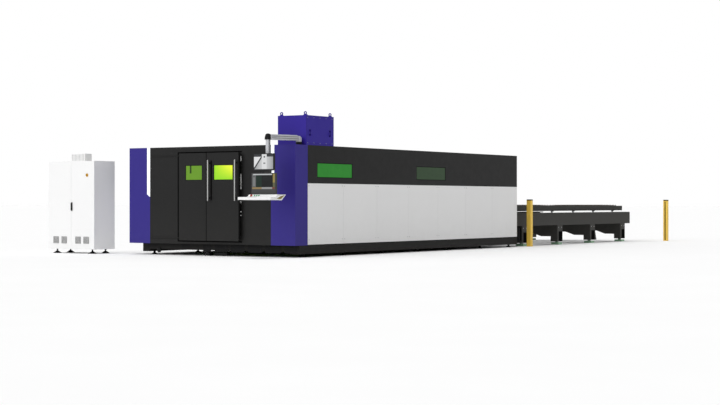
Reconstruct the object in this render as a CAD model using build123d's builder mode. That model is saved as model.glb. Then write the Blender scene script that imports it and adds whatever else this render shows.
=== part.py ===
"""Sheet laser cutting machine: cutting enclosure, exchange table, control cabinet and guard posts.

The machine looks towards -Y. Every place is measured from one corner of the enclosure: so far to
the left of its right side, so far to the rear of its front, and so far up from the floor. The
origin is on the floor under the middle of the whole layout. Sizes are in millimetres.
"""

from build123d import *
from math import atan, cos, degrees, pi
import os

os.makedirs("parts", exist_ok=True)

# Enclosure, the outside
enclosure_width = 4356
enclosure_length = 9450
enclosure_top = 2260
enclosure_bottom = 240
wall = 40
roof_depth = 40
side_corner = 430
band_bottom = 1488
panel_bottom = 252
panel_count = 7
panel_gap = 4
hem_height = 42
hem_groove = 3
side_window_length = 1290
side_window_low = 1605
side_window_high = 1910
front_window_start = 765
rear_window_start = 4640
window_pane = 12
window_lip = 6

# Front columns and their light strips
right_column_width = 600
left_column_width = 576
strip_width = 83
strip_low = 1218
strip_chamfer = 60
strip_depth = 12

# Sliding door
door_right_edge = 1359
leading_width = 838
trailing_width = 773
door_overlap = 40
door_low = 312
door_high = 2125
door_front = 85
leaf_thickness = 34.4
leaf_gap = 0.3
door_rail_height = 15
door_rail_depth = 15
door_rail_edge = 42
door_rail_end = 3745
door_opening_margin = 42
leading_window_left = 1995
leading_window_right = 1500
trailing_window_left = 2769
trailing_window_right = 2329
door_window_low = 1563
door_window_high = 1873
door_pane = 8
door_pane_recess = 5
seal_width = 26
seal_depth = 2
bumper_depth = 25
bumper_inset = 52
handle_low = 1131
handle_high = 1975
handle_width = 32
handle_reach = 70
handle_foot_inset = 62
handle_left = 2105
handle_right = 1408

# Base frame and feet
base_left = 4090
base_setback = 133
base_beam = 200
base_skirt_low = 65
base_low = 113
base_cross = 120
base_cross_count = 5
foot_base = 130
foot_neck = 40
foot_count = 7
foot_cone_share = 0.6
foot_lip = 3
few_flats = 12
many_flats = 24
foot_inset = 260

# Machine bed and its rails
bed_inset = 60
bed_beam = 190
bed_top = 1040
bed_front = 400
bed_rear = 9380
bed_tie_height = 160
rail_width = 35
rail_height = 30
rail_inset = 70
rack_inset = 150
rack_width = 30
rail_end_gap = 50

# Gantry, carriage and cutting head
gantry_rest = 1400
gantry_depth = 600
beam_depth = 360
beam_low = 1150
beam_high = 1450
cross_rail_depth = 30
cross_rail_height = 30
cross_rail_lift = 40
cross_rail_setback = 50
gantry_motor = 110
carriage_width = 360
carriage_rest = 2840
carriage_depth = 130
carriage_low = 1160
carriage_high = 1860
carriage_corner = 30
head_width = 140
head_depth = 110
head_low = 1420
head_high = 1900
barrel_radius = 35
barrel_length = 80
nozzle_tip_radius = 6
nozzle_length = 30

# Pallets
pallet_width = 2655
pallet_length = 6840
pallet_front = 9580
pallet_web = 8
pallet_flange = 30
pallet_flange_thickness = 8
pallet_frame_low = 44
pallet_frame_high = 174
pallet_end_beam = 60
wheel_radius = 45
wheel_width = 30
wheel_flats = 16
wheel_block = 36
wheel_block_length = 26
first_wheel = 1185
wheel_pitch = 1271
wheel_count = 5
slat_low = 114
slat_high = 204
slat_thickness = 6
slat_pitch = 100
slat_count = 65
first_slat = 100
slat_end_gap = 30
slat_bar = 30
slat_bar_low = 54
slat_bar_count = 3
comb_inset = 70
comb_width = 12
pallet_tie = 50

# Exchange table
table_right = 95
table_width = 3005
table_front = 9560
table_rear = 16560
lift_low = 510
upper_track = 836
lower_track = 590
track_thickness = 24
track_reach = 100
lift_beam_width = 150
lift_tie = 46
guide_post = 100
guide_post_low = 150
guide_clearance = 5
stand_count = 4
first_stand = 10055
stand_pitch = 2003
leg_width = 200
leg_depth = 300
leg_low = 83
haunch_low = 214
haunch_flat = 280
haunch_slope = 255
portal_low = 300
leg_pocket_width = 130
leg_pocket_height = 190
leg_pocket_depth = 38
gusset_stand = 2
gusset_foot = 110
gusset_height = 330
gusset_thickness = 30
gusset_lean = (-1, 2)
pad_size = 210
pad_height = 55
pad_neck = 60
drive_radius = 95
drive_length = 300
drive_low = 150
drive_plate = 20

# Rear opening and its shutter
rear_opening_low = 560
rear_opening_high = 1100
rear_opening_margin = 30
shutter_lap = 20
shutter_thickness = 25
shutter_gap = 5
shutter_rest = 570
guide_width = 50
guide_lip = 12

# Tower housing
tower_width = 700
tower_front = 371
tower_length = 988
tower_top = 2860
cover_margin = 26
cover_gap = 4
cover_depth = 20
tower_handle_low = 2457
tower_handle_high = 2565
tower_handle_front = 511
tower_handle_rear = 1217
tower_handle_size = 14
tower_handle_reach = 30
eye_inset = 55
eye_radius = 34
eye_hole = 18
eye_thickness = 16
eye_neck = 46
eye_foot = 104
eye_waist = 54

# Operator's arm and console
pivot_left = 120
pivot_rear = 290
pivot_radius = 60
pivot_height = 56
knuckle_flange = 4
knuckle_round = 62
arm_centre = 2390
arm_size = 95
arm_corner = 22
elbow_left = 300
elbow_ahead = 501
drop_size = 75
drop_corner = 14
drop_low = 2000
console_centre = 345
console_low = 1147
tray_width = 800
tray_front = 898
tray_front_low = 1155
tray_front_high = 1208
tray_deck_high = 1212
tray_deck_end = 650
deck_top_front = 600
deck_top_high = 1259
tray_rear_high = 387
tray_rear_low = 527
deck_width = 700
monitor_front = 591
monitor_width = 498
monitor_low = 1732
monitor_high = 2068
panel_width = 588
panel_high = 1682
spine_width = 120
bezel = 16
panel_sill = 64
screen_thickness = 4
button_pocket = 16
button_clearance = 0.3
stop_left = 618
stop_radius = 21
stop_stem = 12
stop_cap = 14
stop_lift = 8
button_places = (537, 483, 429)
button_size = 26
button_proud = 10
button_stem_gap = 7

# Control cabinet
cabinet_right = 5032
cabinet_width = 1348
cabinet_depth = 646
cabinet_ahead = 365
cabinet_low = 93
cabinet_top = 1996
cabinet_wall = 25
cabinet_door = 25
cabinet_door_gap = 4
cabinet_door_edge = 2
vent_size = 150
vent_low = 216
vent_depth = 8
vent_slot = 8
vent_slots = 6
vent_slot_depth = 4
vent_places = (227, 463, 871, 1111)
fan_width = 405
fan_depth = 212
fan_height = 167
fan_slot = 14
fan_slot_depth = 10
fan_slots = 9
cabinet_foot_base = 90
cabinet_foot_neck = 15
cabinet_foot_side = 158
cabinet_foot_inset = 118
lever_low = 931
lever_high = 1096
lever_width = 32
lever_depth = 24
lever_inset = 20
lever_corner = 8
switch_right = 208
switch_height = 1691
switch_radius = 26
switch_disc = 14
switch_grip = 16
switch_grip_length = 44
switch_depth = 30
plate_side = 60
plate_low = 200
plate_high = 1900
plate_thickness = 10
module_depth = 180
module_width = 170
module_gap = 40
module_low = 1150
module_high = 1550

# Guard posts
post_size = 120
post_corner = 12
post_height = 1150
post_slot = 34
post_slot_depth = 12
post_slot_end = 20
cap_height = 30
front_post_out = 100
front_post_rear = 9946
rear_post_out = 680
rear_post_rear = 17344

# Places that follow from the sizes above
cabinet_left = cabinet_right + cabinet_width
layout_right = rear_post_out + post_size / 2
layout_rear = rear_post_rear + post_size / 2
side_x = (cabinet_left - layout_right) / 2
front_y = (tray_front - layout_rear) / 2
table_centre = table_right + table_width / 2


def across(distance):
    """X of a line this far to the left of the enclosure's right side."""
    return side_x - distance


def back(distance):
    """Y of a line this far to the rear of the enclosure's front."""
    return front_y + distance


def size(span):
    """Length of a span."""
    return span[1] - span[0]


def middle(span):
    """Middle of a span."""
    return (span[0] + span[1]) / 2


def around(centre, width):
    """Span of a width about its centre."""
    return (centre - width / 2, centre + width / 2)


def both_sides(span):
    """A span on the table's right half, and the same on its left half."""
    return (span, (2 * table_centre - span[1], 2 * table_centre - span[0]))


def block(left, rear, up, mode=Mode.ADD):
    """Add or cut a square-edged length of plate, tube or bar, given by its three spans."""
    with BuildSketch(Plane.XY.offset(up[0])) as outline:
        with Locations((across(middle(left)), back(middle(rear)))):
            Rectangle(size(left), size(rear))
    extrude(outline.sketch, amount=size(up), mode=mode)


def round_face(left, rear, height, radius, flats):
    """Horizontal face of a round piece, drawn with flats so that it stays light to handle."""
    with BuildSketch(Plane.XY.offset(height)) as outline:
        with Locations((across(left), back(rear))):
            RegularPolygon(radius, flats)
    return outline.sketch.face()


def rod(left, rear, up, radius):
    """Add an upright round bar."""
    extrude(round_face(left, rear, up[0], radius, many_flats), amount=size(up))


def cone(left, rear, up, low_radius, high_radius, flats):
    """Add an upright cone that narrows upwards."""
    lean = degrees(atan((low_radius - high_radius) * cos(pi / flats) / size(up)))
    extrude(round_face(left, rear, up[0], low_radius, flats), amount=size(up), taper=lean)


def front_plane(distance):
    """Plane across the machine. Its x runs left, its y up, and its normal points to the rear."""
    return Plane(origin=(side_x, back(distance), 0), x_dir=(-1, 0, 0), z_dir=(0, 1, 0))


def side_plane(distance):
    """Plane along the machine. Its x runs to the rear, its y up, and its normal points right."""
    return Plane(origin=(across(distance), front_y, 0), x_dir=(0, 1, 0), z_dir=(1, 0, 0))


def profile(plane, points, amount, mode=Mode.ADD):
    """Extrude a closed outline of straight edges."""
    with BuildSketch(plane) as outline:
        with BuildLine():
            Polyline(*points, close=True)
        make_face()
    extrude(outline.sketch, amount=amount, mode=mode)


def foot(left, rear, top, base_radius, neck_radius):
    """Cone-shaped levelling foot on the floor with its stud up to the piece that it carries."""
    neck = top * foot_cone_share
    cone(left, rear, (0, neck), base_radius, neck_radius + foot_lip, few_flats)
    extrude(round_face(left, rear, neck, neck_radius, few_flats), amount=top - neck)


# Base frame
base_rear = enclosure_length
cross_pitch = (base_rear - base_setback - base_beam) / (base_cross_count + 1)
cross_places = [
    base_setback + base_beam / 2 + cross_pitch * (number + 1) for number in range(base_cross_count)
]
with BuildPart() as base_frame:
    for beam in ((0, base_beam), (base_left - base_beam, base_left)):
        block(beam, (base_setback, base_rear), (base_skirt_low, enclosure_bottom))
    for start in (base_setback, base_rear - base_beam):
        block((0, base_left), (start, start + base_beam), (base_low, enclosure_bottom))
    for place in cross_places:
        block((0, base_left), around(place, base_cross), (base_low, enclosure_bottom))
base_frame.part.label = "base_frame"
export_step(base_frame.part, "parts/base_frame.step")

# Levelling feet under the base frame
foot_pitch = (base_rear - base_setback - 2 * foot_inset) / (foot_count - 1)
with BuildPart() as levelling_feet:
    for number in range(foot_count):
        foot_place = base_setback + foot_inset + foot_pitch * number
        for left in (base_beam / 2, base_left - base_beam / 2):
            foot(left, foot_place, base_skirt_low, foot_base / 2, foot_neck / 2)
levelling_feet.part.label = "levelling_feet"
export_step(levelling_feet.part, "parts/levelling_feet.step")

# Machine bed: two tall side beams, ties between them and the tracks that take a pallet's wheels
bed_right = (bed_inset, bed_inset + bed_beam)
bed_track = (bed_right[1], table_right + lift_beam_width + track_reach)
with BuildPart() as machine_bed:
    for span in both_sides(bed_right):
        block(span, (bed_front, bed_rear), (enclosure_bottom, bed_top))
    for span in both_sides(bed_track):
        block(span, (bed_front, enclosure_length), (upper_track - track_thickness, upper_track))
    for place in cross_places:
        block(
            (bed_right[1], 2 * table_centre - bed_right[1]),
            around(place, base_cross),
            (enclosure_bottom, enclosure_bottom + bed_tie_height),
        )
machine_bed.part.label = "machine_bed"
export_step(machine_bed.part, "parts/machine_bed.step")

# Gantry rails and racks on the bed
rail_top = bed_top + rail_height
rail_run = (bed_front + rail_end_gap, bed_rear - rail_end_gap)
rail_right = (bed_inset + rail_inset, bed_inset + rail_inset + rail_width)
rack_right = (bed_inset + rack_inset, bed_inset + rack_inset + rack_width)
with BuildPart() as gantry_rails:
    for span in both_sides(rail_right) + both_sides(rack_right):
        block(span, rail_run, (bed_top, rail_top))
gantry_rails.part.label = "gantry_rails"
export_step(gantry_rails.part, "parts/gantry_rails.step")

# Right column, folded round the front corner, with a rebate for its light strip
strip_top = enclosure_top
strip_right = (right_column_width - strip_width, right_column_width)
strip_left = (
    enclosure_width - left_column_width,
    enclosure_width - left_column_width + strip_width,
)
right_strip_outline = (
    (strip_right[0], strip_low + strip_chamfer),
    (strip_right[1], strip_low),
    (strip_right[1], strip_top),
    (strip_right[0], strip_top),
)
left_strip_outline = (
    (strip_left[1], strip_low + strip_chamfer),
    (strip_left[0], strip_low),
    (strip_left[0], strip_top),
    (strip_left[1], strip_top),
)
with BuildPart() as right_column:
    block((0, right_column_width), (0, wall), (enclosure_bottom, enclosure_top))
    block((0, wall), (wall, side_corner), (enclosure_bottom, enclosure_top))
    profile(front_plane(0), right_strip_outline, strip_depth, mode=Mode.SUBTRACT)
right_column.part.label = "right_column"
export_step(right_column.part, "parts/right_column.step")

# Left column, the same handed the other way
with BuildPart() as left_column:
    block(
        (enclosure_width - left_column_width, enclosure_width),
        (0, wall),
        (enclosure_bottom, enclosure_top),
    )
    block(
        (enclosure_width - wall, enclosure_width),
        (wall, side_corner),
        (enclosure_bottom, enclosure_top),
    )
    profile(front_plane(0), left_strip_outline, strip_depth, mode=Mode.SUBTRACT)
left_column.part.label = "left_column"
export_step(left_column.part, "parts/left_column.step")

# Light strips in the columns' rebates
with BuildPart() as light_strips:
    profile(front_plane(0), right_strip_outline, strip_depth)
    profile(front_plane(0), left_strip_outline, strip_depth)
light_strips.part.label = "light_strips"
export_step(light_strips.part, "parts/light_strips.step")

# Front panel with the door opening
door_left_edge = door_right_edge + leading_width - door_overlap + trailing_width
opening_width = (door_right_edge + door_opening_margin, door_left_edge - door_opening_margin)
opening_height = (
    door_low + door_rail_edge + door_rail_height,
    door_high - door_rail_edge - door_rail_height,
)
front_panel_span = (right_column_width, enclosure_width - left_column_width)
with BuildPart() as front_panel:
    block(front_panel_span, (0, wall), (enclosure_bottom, enclosure_top))
    block(opening_width, (0, wall), opening_height, mode=Mode.SUBTRACT)
front_panel.part.label = "front_panel"
export_step(front_panel.part, "parts/front_panel.step")

# Door rails above and below the opening
door_rail_run = (door_right_edge, door_rail_end)
door_rail_high = (opening_height[1], opening_height[1] + door_rail_height)
door_rail_low = (opening_height[0] - door_rail_height, opening_height[0])
with BuildPart() as door_rails:
    block(door_rail_run, (-door_rail_depth, 0), door_rail_high)
    block(door_rail_run, (-door_rail_depth, 0), door_rail_low)
door_rails.part.label = "door_rails"
export_step(door_rails.part, "parts/door_rails.step")

# Rubber seal on the front panel round the closed door
seal_run = (door_right_edge - bumper_depth, door_left_edge + seal_width)
with BuildPart() as door_seal:
    block(seal_run, (-seal_depth, 0), (door_high, door_high + seal_width))
    block(seal_run, (-seal_depth, 0), (door_low - seal_width, door_low))
    for upright in (
        (door_low, door_rail_low[0]),
        (door_rail_low[1], door_rail_high[0]),
        (door_rail_high[1], door_high),
    ):
        block((door_left_edge, door_left_edge + seal_width), (-seal_depth, 0), upright)
door_seal.part.label = "door_seal"
export_step(door_seal.part, "parts/door_seal.step")

# Leading door leaf
leading_front = -door_front
leading_back = leading_front + leaf_thickness
leading_span = (door_right_edge, door_right_edge + leading_width)
leading_window = (leading_window_right, leading_window_left)
door_window_height = (door_window_low, door_window_high)
with BuildPart() as door_leaf_leading:
    block(leading_span, (leading_front, leading_back), (door_low, door_high))
    block(leading_window, (leading_front, leading_back), door_window_height, mode=Mode.SUBTRACT)
door_leaf_leading.part.label = "door_leaf_leading"
export_step(door_leaf_leading.part, "parts/door_leaf_leading.step")

# Trailing door leaf, which runs on the rails behind the leading one
trailing_back = -door_rail_depth - leaf_gap
trailing_front = leading_back + leaf_gap
trailing_span = (door_left_edge - trailing_width, door_left_edge)
trailing_window = (trailing_window_right, trailing_window_left)
with BuildPart() as door_leaf_trailing:
    block(trailing_span, (trailing_front, trailing_back), (door_low, door_high))
    block(trailing_window, (trailing_front, trailing_back), door_window_height, mode=Mode.SUBTRACT)
door_leaf_trailing.part.label = "door_leaf_trailing"
export_step(door_leaf_trailing.part, "parts/door_leaf_trailing.step")

# Laser-safe panes of the two door leaves
with BuildPart() as door_window_leading:
    pane_front = leading_front + door_pane_recess
    block(leading_window, (pane_front, pane_front + door_pane), door_window_height)
door_window_leading.part.label = "door_window_leading"
export_step(door_window_leading.part, "parts/door_window_leading.step")

with BuildPart() as door_window_trailing:
    pane_front = trailing_front + door_pane_recess
    block(trailing_window, (pane_front, pane_front + door_pane), door_window_height)
door_window_trailing.part.label = "door_window_trailing"
export_step(door_window_trailing.part, "parts/door_window_trailing.step")

# Bar handles on the leading leaf, each on two feet
with BuildPart() as door_handles:
    for place in (handle_left, handle_right):
        bar_back = leading_front - handle_reach + handle_width
        block(
            around(place, handle_width),
            (leading_front - handle_reach, bar_back),
            (handle_low, handle_high),
        )
        for height in (handle_low + handle_foot_inset, handle_high - handle_foot_inset):
            block(
                around(place, handle_width),
                (bar_back, leading_front),
                around(height, handle_width),
            )
door_handles.part.label = "door_handles"
export_step(door_handles.part, "parts/door_handles.step")

# Rubber bumper on the leading leaf's closing edge
with BuildPart() as door_bumper:
    block(
        (door_right_edge - bumper_depth, door_right_edge),
        (leading_front, leading_back),
        (door_low + bumper_inset, door_high - bumper_inset),
    )
door_bumper.part.label = "door_bumper"
export_step(door_bumper.part, "parts/door_bumper.step")

# Dark upper bands of the two sides, each with two window openings
band_run = (side_corner, enclosure_length)
window_runs = (
    (front_window_start, front_window_start + side_window_length),
    (rear_window_start, rear_window_start + side_window_length),
)
window_height = (side_window_low, side_window_high)
side_walls = ((0, wall), (enclosure_width - wall, enclosure_width))
with BuildPart() as side_bands:
    for side in side_walls:
        block(side, band_run, (band_bottom, enclosure_top))
        for run in window_runs:
            block(side, run, window_height, mode=Mode.SUBTRACT)
side_bands.part.label = "side_bands"
export_step(side_bands.part, "parts/side_bands.step")

# Side windows, let in a little behind the bands' outer faces
with BuildPart() as side_windows:
    for run in window_runs:
        block((window_lip, window_lip + window_pane), run, window_height)
        pane_left = enclosure_width - window_lip
        block((pane_left - window_pane, pane_left), run, window_height)
side_windows.part.label = "side_windows"
export_step(side_windows.part, "parts/side_windows.step")

# White lower panels of the two sides, hung from the bands, with a folded hem line
panel_pitch = (enclosure_length - side_corner) / panel_count
hem = (panel_bottom + hem_height, panel_bottom + hem_height + hem_groove)
hem_sides = ((0, hem_groove), (enclosure_width - hem_groove, enclosure_width))
with BuildPart() as side_panels:
    for side, groove in zip(side_walls, hem_sides):
        for number in range(panel_count):
            panel_start = side_corner + panel_pitch * number + panel_gap / 2
            panel_run = (panel_start, panel_start + panel_pitch - panel_gap)
            block(side, panel_run, (panel_bottom, band_bottom))
            block(groove, panel_run, hem, mode=Mode.SUBTRACT)
side_panels.part.label = "side_panels"
export_step(side_panels.part, "parts/side_panels.step")

# Roof panels between the walls
inside_width = (wall, enclosure_width - wall)
inside_length = (wall, enclosure_length - wall)
roof_pitch = size(inside_length) / panel_count
with BuildPart() as roof_panels:
    for number in range(panel_count):
        roof_start = inside_length[0] + roof_pitch * number
        roof_run = (roof_start, roof_start + roof_pitch - panel_gap)
        block(inside_width, roof_run, (enclosure_top - roof_depth, enclosure_top))
roof_panels.part.label = "roof_panels"
export_step(roof_panels.part, "parts/roof_panels.step")

# Rear wall with the opening that the pallets pass through, and the guides of its shutter
pallet_right = (table_centre - pallet_width / 2, table_centre + pallet_width / 2)
rear_opening = (pallet_right[0] - rear_opening_margin, pallet_right[1] + rear_opening_margin)
rear_wall_run = (enclosure_length - wall, enclosure_length)
shutter_span = (rear_opening[0] - shutter_lap, rear_opening[1] + shutter_lap)
shutter_front = enclosure_length + shutter_gap
shutter_low = rear_opening_low - shutter_lap + shutter_rest
shutter_high = rear_opening_high + shutter_lap + shutter_rest
guide_height = (rear_opening_low - shutter_lap, shutter_high)
guide_rear = shutter_front + shutter_thickness + leaf_gap
with BuildPart() as rear_wall:
    block(inside_width, rear_wall_run, (enclosure_bottom, enclosure_top))
    block(rear_opening, rear_wall_run, (rear_opening_low, rear_opening_high), mode=Mode.SUBTRACT)
    for edge, outward in ((shutter_span[0], -1), (shutter_span[1], 1)):
        near = edge + outward * leaf_gap
        far = edge + outward * guide_width
        inner = edge - outward * guide_lip
        block(sorted((near, far)), (enclosure_length, guide_rear), guide_height)
        block(sorted((inner, far)), (guide_rear, guide_rear + guide_lip), guide_height)
rear_wall.part.label = "rear_wall"
export_step(rear_wall.part, "parts/rear_wall.step")

# Rear shutter, raised
with BuildPart() as rear_shutter:
    block(shutter_span, (shutter_front, shutter_front + shutter_thickness), (shutter_low, shutter_high))
rear_shutter.part.label = "rear_shutter"
export_step(rear_shutter.part, "parts/rear_shutter.step")

# Tower housing on the roof, with a recess for its side cover
tower_run = (tower_front, tower_front + tower_length)
tower_height = (enclosure_top, tower_top)
recess_run = (tower_run[0] + cover_margin, tower_run[1] - cover_margin)
recess_height = (tower_height[0] + cover_margin, tower_height[1] - cover_margin)
with BuildPart() as tower_housing:
    block((0, tower_width), tower_run, tower_height)
    block((0, cover_depth), recess_run, recess_height, mode=Mode.SUBTRACT)
tower_housing.part.label = "tower_housing"
export_step(tower_housing.part, "parts/tower_housing.step")

# Tower side cover in the recess, with its two upright D-handles
cover_run = (recess_run[0] + cover_gap, recess_run[1] - cover_gap)
cover_height = (recess_height[0] + cover_gap, recess_height[1] - cover_gap)
with BuildPart() as tower_cover:
    block((0, cover_depth), cover_run, cover_height)
    for place in (tower_handle_front, tower_handle_rear):
        grip_run = around(place, tower_handle_size)
        grip_out = (-tower_handle_reach, tower_handle_size - tower_handle_reach)
        block(grip_out, grip_run, (tower_handle_low, tower_handle_high))
        for low in (tower_handle_low, tower_handle_high - tower_handle_size):
            block((grip_out[1], 0), grip_run, (low, low + tower_handle_size))
tower_cover.part.label = "tower_cover"
export_step(tower_cover.part, "parts/tower_cover.step")

# Lifting eyes in the tower's four top corners
with BuildPart() as lifting_eyes:
    for left in (eye_inset, tower_width - eye_inset):
        for rear in (tower_run[0] + eye_inset, tower_run[1] - eye_inset):
            with BuildSketch(front_plane(rear - eye_thickness / 2)):
                with BuildLine():
                    Polyline(
                        (left - eye_foot / 2, tower_top),
                        (left + eye_foot / 2, tower_top),
                        (left + eye_waist / 2, tower_top + eye_neck / 2),
                        (left - eye_waist / 2, tower_top + eye_neck / 2),
                        close=True,
                    )
                make_face()
                with Locations((left, tower_top + eye_neck)):
                    RegularPolygon(eye_radius, few_flats)
                with Locations((left, tower_top + eye_neck)):
                    Circle(eye_hole, mode=Mode.SUBTRACT)
            extrude(amount=eye_thickness)
lifting_eyes.part.label = "lifting_eyes"
export_step(lifting_eyes.part, "parts/lifting_eyes.step")

# Pivot post of the operator's arm
arm_low = arm_centre - arm_size / 2
knuckle_low = enclosure_top + pivot_height
with BuildPart() as arm_pivot:
    rod(pivot_left, pivot_rear, (enclosure_top, knuckle_low), pivot_radius)
arm_pivot.part.label = "arm_pivot"
export_step(arm_pivot.part, "parts/arm_pivot.step")

# Arm tube from the pivot to the elbow, with a rounded knuckle and a round flange on the pivot
pivot_point = Vector(across(pivot_left), back(pivot_rear))
elbow_point = Vector(across(elbow_left), back(-elbow_ahead))
arm_length = (elbow_point - pivot_point).length
arm_direction = (elbow_point - pivot_point).normalized()
arm_axis = Axis((0, 0, 0), (arm_direction.X, arm_direction.Y, 0))
arm_plane = Plane(
    origin=(pivot_point.X, pivot_point.Y, arm_low),
    x_dir=(arm_direction.X, arm_direction.Y, 0),
    z_dir=(0, 0, 1),
)
arm_run = (-arm_size / 2, arm_length - arm_size / 2)
with BuildPart() as arm_tube:
    with BuildSketch(arm_plane):
        with Locations((middle(arm_run), 0)):
            Rectangle(size(arm_run), arm_size)
    extrude(amount=arm_size)
    rear_top = arm_tube.faces().sort_by(Axis.Z)[-1].edges().sort_by(arm_axis)[0]
    fillet(rear_top, knuckle_round)
    fillet(arm_tube.edges().filter_by(arm_axis), arm_corner)
    rod(pivot_left, pivot_rear, (knuckle_low, arm_low + arm_corner), pivot_radius - knuckle_flange)
arm_tube.part.label = "arm_tube"
export_step(arm_tube.part, "parts/arm_tube.step")

# Dark elbow cap, rounded at its outer top corner
elbow_plane = Plane(
    origin=(elbow_point.X, elbow_point.Y, arm_centre),
    x_dir=(arm_direction.X, arm_direction.Y, 0),
    z_dir=(-arm_direction.Y, arm_direction.X, 0),
)
with BuildPart() as arm_elbow:
    with BuildSketch(elbow_plane.offset(-arm_size / 2)):
        Rectangle(arm_size, arm_size)
    extrude(amount=arm_size)
    outer_edge = arm_elbow.faces().sort_by(Axis.Z)[-1].edges().sort_by(arm_axis)[-1]
    fillet(outer_edge, knuckle_round)
arm_elbow.part.label = "arm_elbow"
export_step(arm_elbow.part, "parts/arm_elbow.step")

# Drop tube under the elbow
with BuildPart() as drop_tube:
    block(
        around(elbow_left, drop_size),
        around(-elbow_ahead, drop_size),
        (drop_low, arm_centre - arm_size / 2),
    )
    fillet(drop_tube.edges().filter_by(Axis.Z), drop_corner)
drop_tube.part.label = "drop_tube"
export_step(drop_tube.part, "parts/drop_tube.step")

# Upper monitor, a dark frame with a recess for its screen
screen_back = -elbow_ahead - drop_size / 2
monitor_span = around(console_centre, monitor_width)
panel_span = around(console_centre, panel_width)
monitor_screen = (monitor_span[0] + bezel, monitor_span[1] - bezel)
monitor_screen_height = (monitor_low + bezel, monitor_high - bezel)
panel_screen = (panel_span[0] + bezel, panel_span[1] - bezel)
panel_screen_height = (deck_top_high + panel_sill, panel_high - bezel)
screen_run = (-monitor_front, -monitor_front + screen_thickness)
with BuildPart() as upper_monitor:
    block(monitor_span, (-monitor_front, screen_back), (monitor_low, monitor_high))
    block(monitor_screen, screen_run, monitor_screen_height, mode=Mode.SUBTRACT)
upper_monitor.part.label = "upper_monitor"
export_step(upper_monitor.part, "parts/upper_monitor.step")

# Control panel housing with the spine that joins it to the drop tube
spine_run = (screen_back, screen_back + drop_size)
with BuildPart() as control_panel:
    block(panel_span, (-monitor_front, screen_back), (deck_top_high, panel_high))
    block(panel_screen, screen_run, panel_screen_height, mode=Mode.SUBTRACT)
    block(around(elbow_left, spine_width), spine_run, (deck_top_high, drop_low))
control_panel.part.label = "control_panel"
export_step(control_panel.part, "parts/control_panel.step")

# Screens of the monitor and the control panel
with BuildPart() as screens:
    block(monitor_screen, screen_run, monitor_screen_height)
    block(panel_screen, screen_run, panel_screen_height)
screens.part.label = "screens"
export_step(screens.part, "parts/screens.step")

# Keyboard console: a wide tray with a narrower raised deck, and pockets for the buttons
tray_span = around(console_centre, tray_width)
deck_span = around(console_centre, deck_width)
tray_outline = (
    (-tray_front, tray_front_low),
    (-tray_front, tray_front_high),
    (-tray_deck_end, tray_deck_high),
    (-tray_rear_high, deck_top_high),
    (-tray_rear_low, console_low),
)
deck_outline = (
    (-tray_deck_end, tray_deck_high),
    (-deck_top_front, deck_top_high),
    (-tray_rear_high, deck_top_high),
)
slope_along = Vector(0, tray_deck_end - deck_top_front, deck_top_high - tray_deck_high).normalized()
slope_normal = Vector(0, -slope_along.Z, slope_along.Y)
slope_middle = Vector(
    across(0), back(-(tray_deck_end + deck_top_front) / 2), (tray_deck_high + deck_top_high) / 2
)
slope_plane = Plane(
    origin=(slope_middle.X, slope_middle.Y, slope_middle.Z),
    x_dir=(-1, 0, 0),
    z_dir=(slope_normal.X, slope_normal.Y, slope_normal.Z),
)
with BuildPart() as keyboard_console:
    profile(side_plane(tray_span[0]), tray_outline, -tray_width)
    profile(side_plane(deck_span[0]), deck_outline, -deck_width)
    with BuildSketch(slope_plane):
        with Locations((stop_left, 0)):
            Circle(stop_stem + button_clearance)
        with Locations(*[(place, 0) for place in button_places]):
            Rectangle(button_size + 2 * button_clearance, button_size + 2 * button_clearance)
    extrude(amount=-button_pocket, mode=Mode.SUBTRACT)
keyboard_console.part.label = "keyboard_console"
export_step(keyboard_console.part, "parts/keyboard_console.step")


def push_button(left):
    """Square lit button standing in its pocket with room below it to travel."""
    with BuildSketch(slope_plane.offset(button_stem_gap - button_pocket)) as cap:
        with Locations((left, 0)):
            Rectangle(button_size, button_size)
    extrude(cap.sketch, amount=button_pocket - button_stem_gap + button_proud)


# Emergency stop, a mushroom head on a stem
with BuildPart() as emergency_stop:
    with BuildSketch(slope_plane.offset(button_stem_gap - button_pocket)):
        with Locations((stop_left, 0)):
            RegularPolygon(stop_stem, few_flats)
    extrude(amount=button_pocket - button_stem_gap + stop_lift)
    with BuildSketch(slope_plane.offset(stop_lift)):
        with Locations((stop_left, 0)):
            RegularPolygon(stop_radius, many_flats)
    extrude(amount=stop_cap)
emergency_stop.part.label = "emergency_stop"
export_step(emergency_stop.part, "parts/emergency_stop.step")

# Start, feed and reset buttons
with BuildPart() as start_button:
    push_button(button_places[0])
start_button.part.label = "start_button"
export_step(start_button.part, "parts/start_button.step")

with BuildPart() as feed_button:
    push_button(button_places[1])
feed_button.part.label = "feed_button"
export_step(feed_button.part, "parts/feed_button.step")

with BuildPart() as reset_button:
    push_button(button_places[2])
reset_button.part.label = "reset_button"
export_step(reset_button.part, "parts/reset_button.step")

# Gantry: two trucks on the bed rails, the cross beam, its two cross rails and the drive motors
truck_run = (gantry_rest, gantry_rest + gantry_depth)
beam_run = (gantry_rest + (gantry_depth - beam_depth) / 2, gantry_rest + (gantry_depth + beam_depth) / 2)
truck_right = (bed_right[0] + cross_rail_depth, bed_right[1])
cross_rail_span = (
    truck_right[1] + cross_rail_setback,
    2 * table_centre - truck_right[1] - cross_rail_setback,
)
with BuildPart() as gantry_beam:
    for span in both_sides(truck_right):
        block(span, truck_run, (rail_top, beam_low))
        motor_run = (beam_run[1], beam_run[1] + gantry_motor)
        block(around(middle(span), gantry_motor), motor_run, (beam_low, beam_high))
    block((truck_right[0], 2 * table_centre - truck_right[0]), beam_run, (beam_low, beam_high))
    for low in (beam_low + cross_rail_lift, beam_high - cross_rail_lift - cross_rail_height):
        cross_rail_run = (beam_run[0] - cross_rail_depth, beam_run[0])
        block(cross_rail_span, cross_rail_run, (low, low + cross_rail_height))
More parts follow.
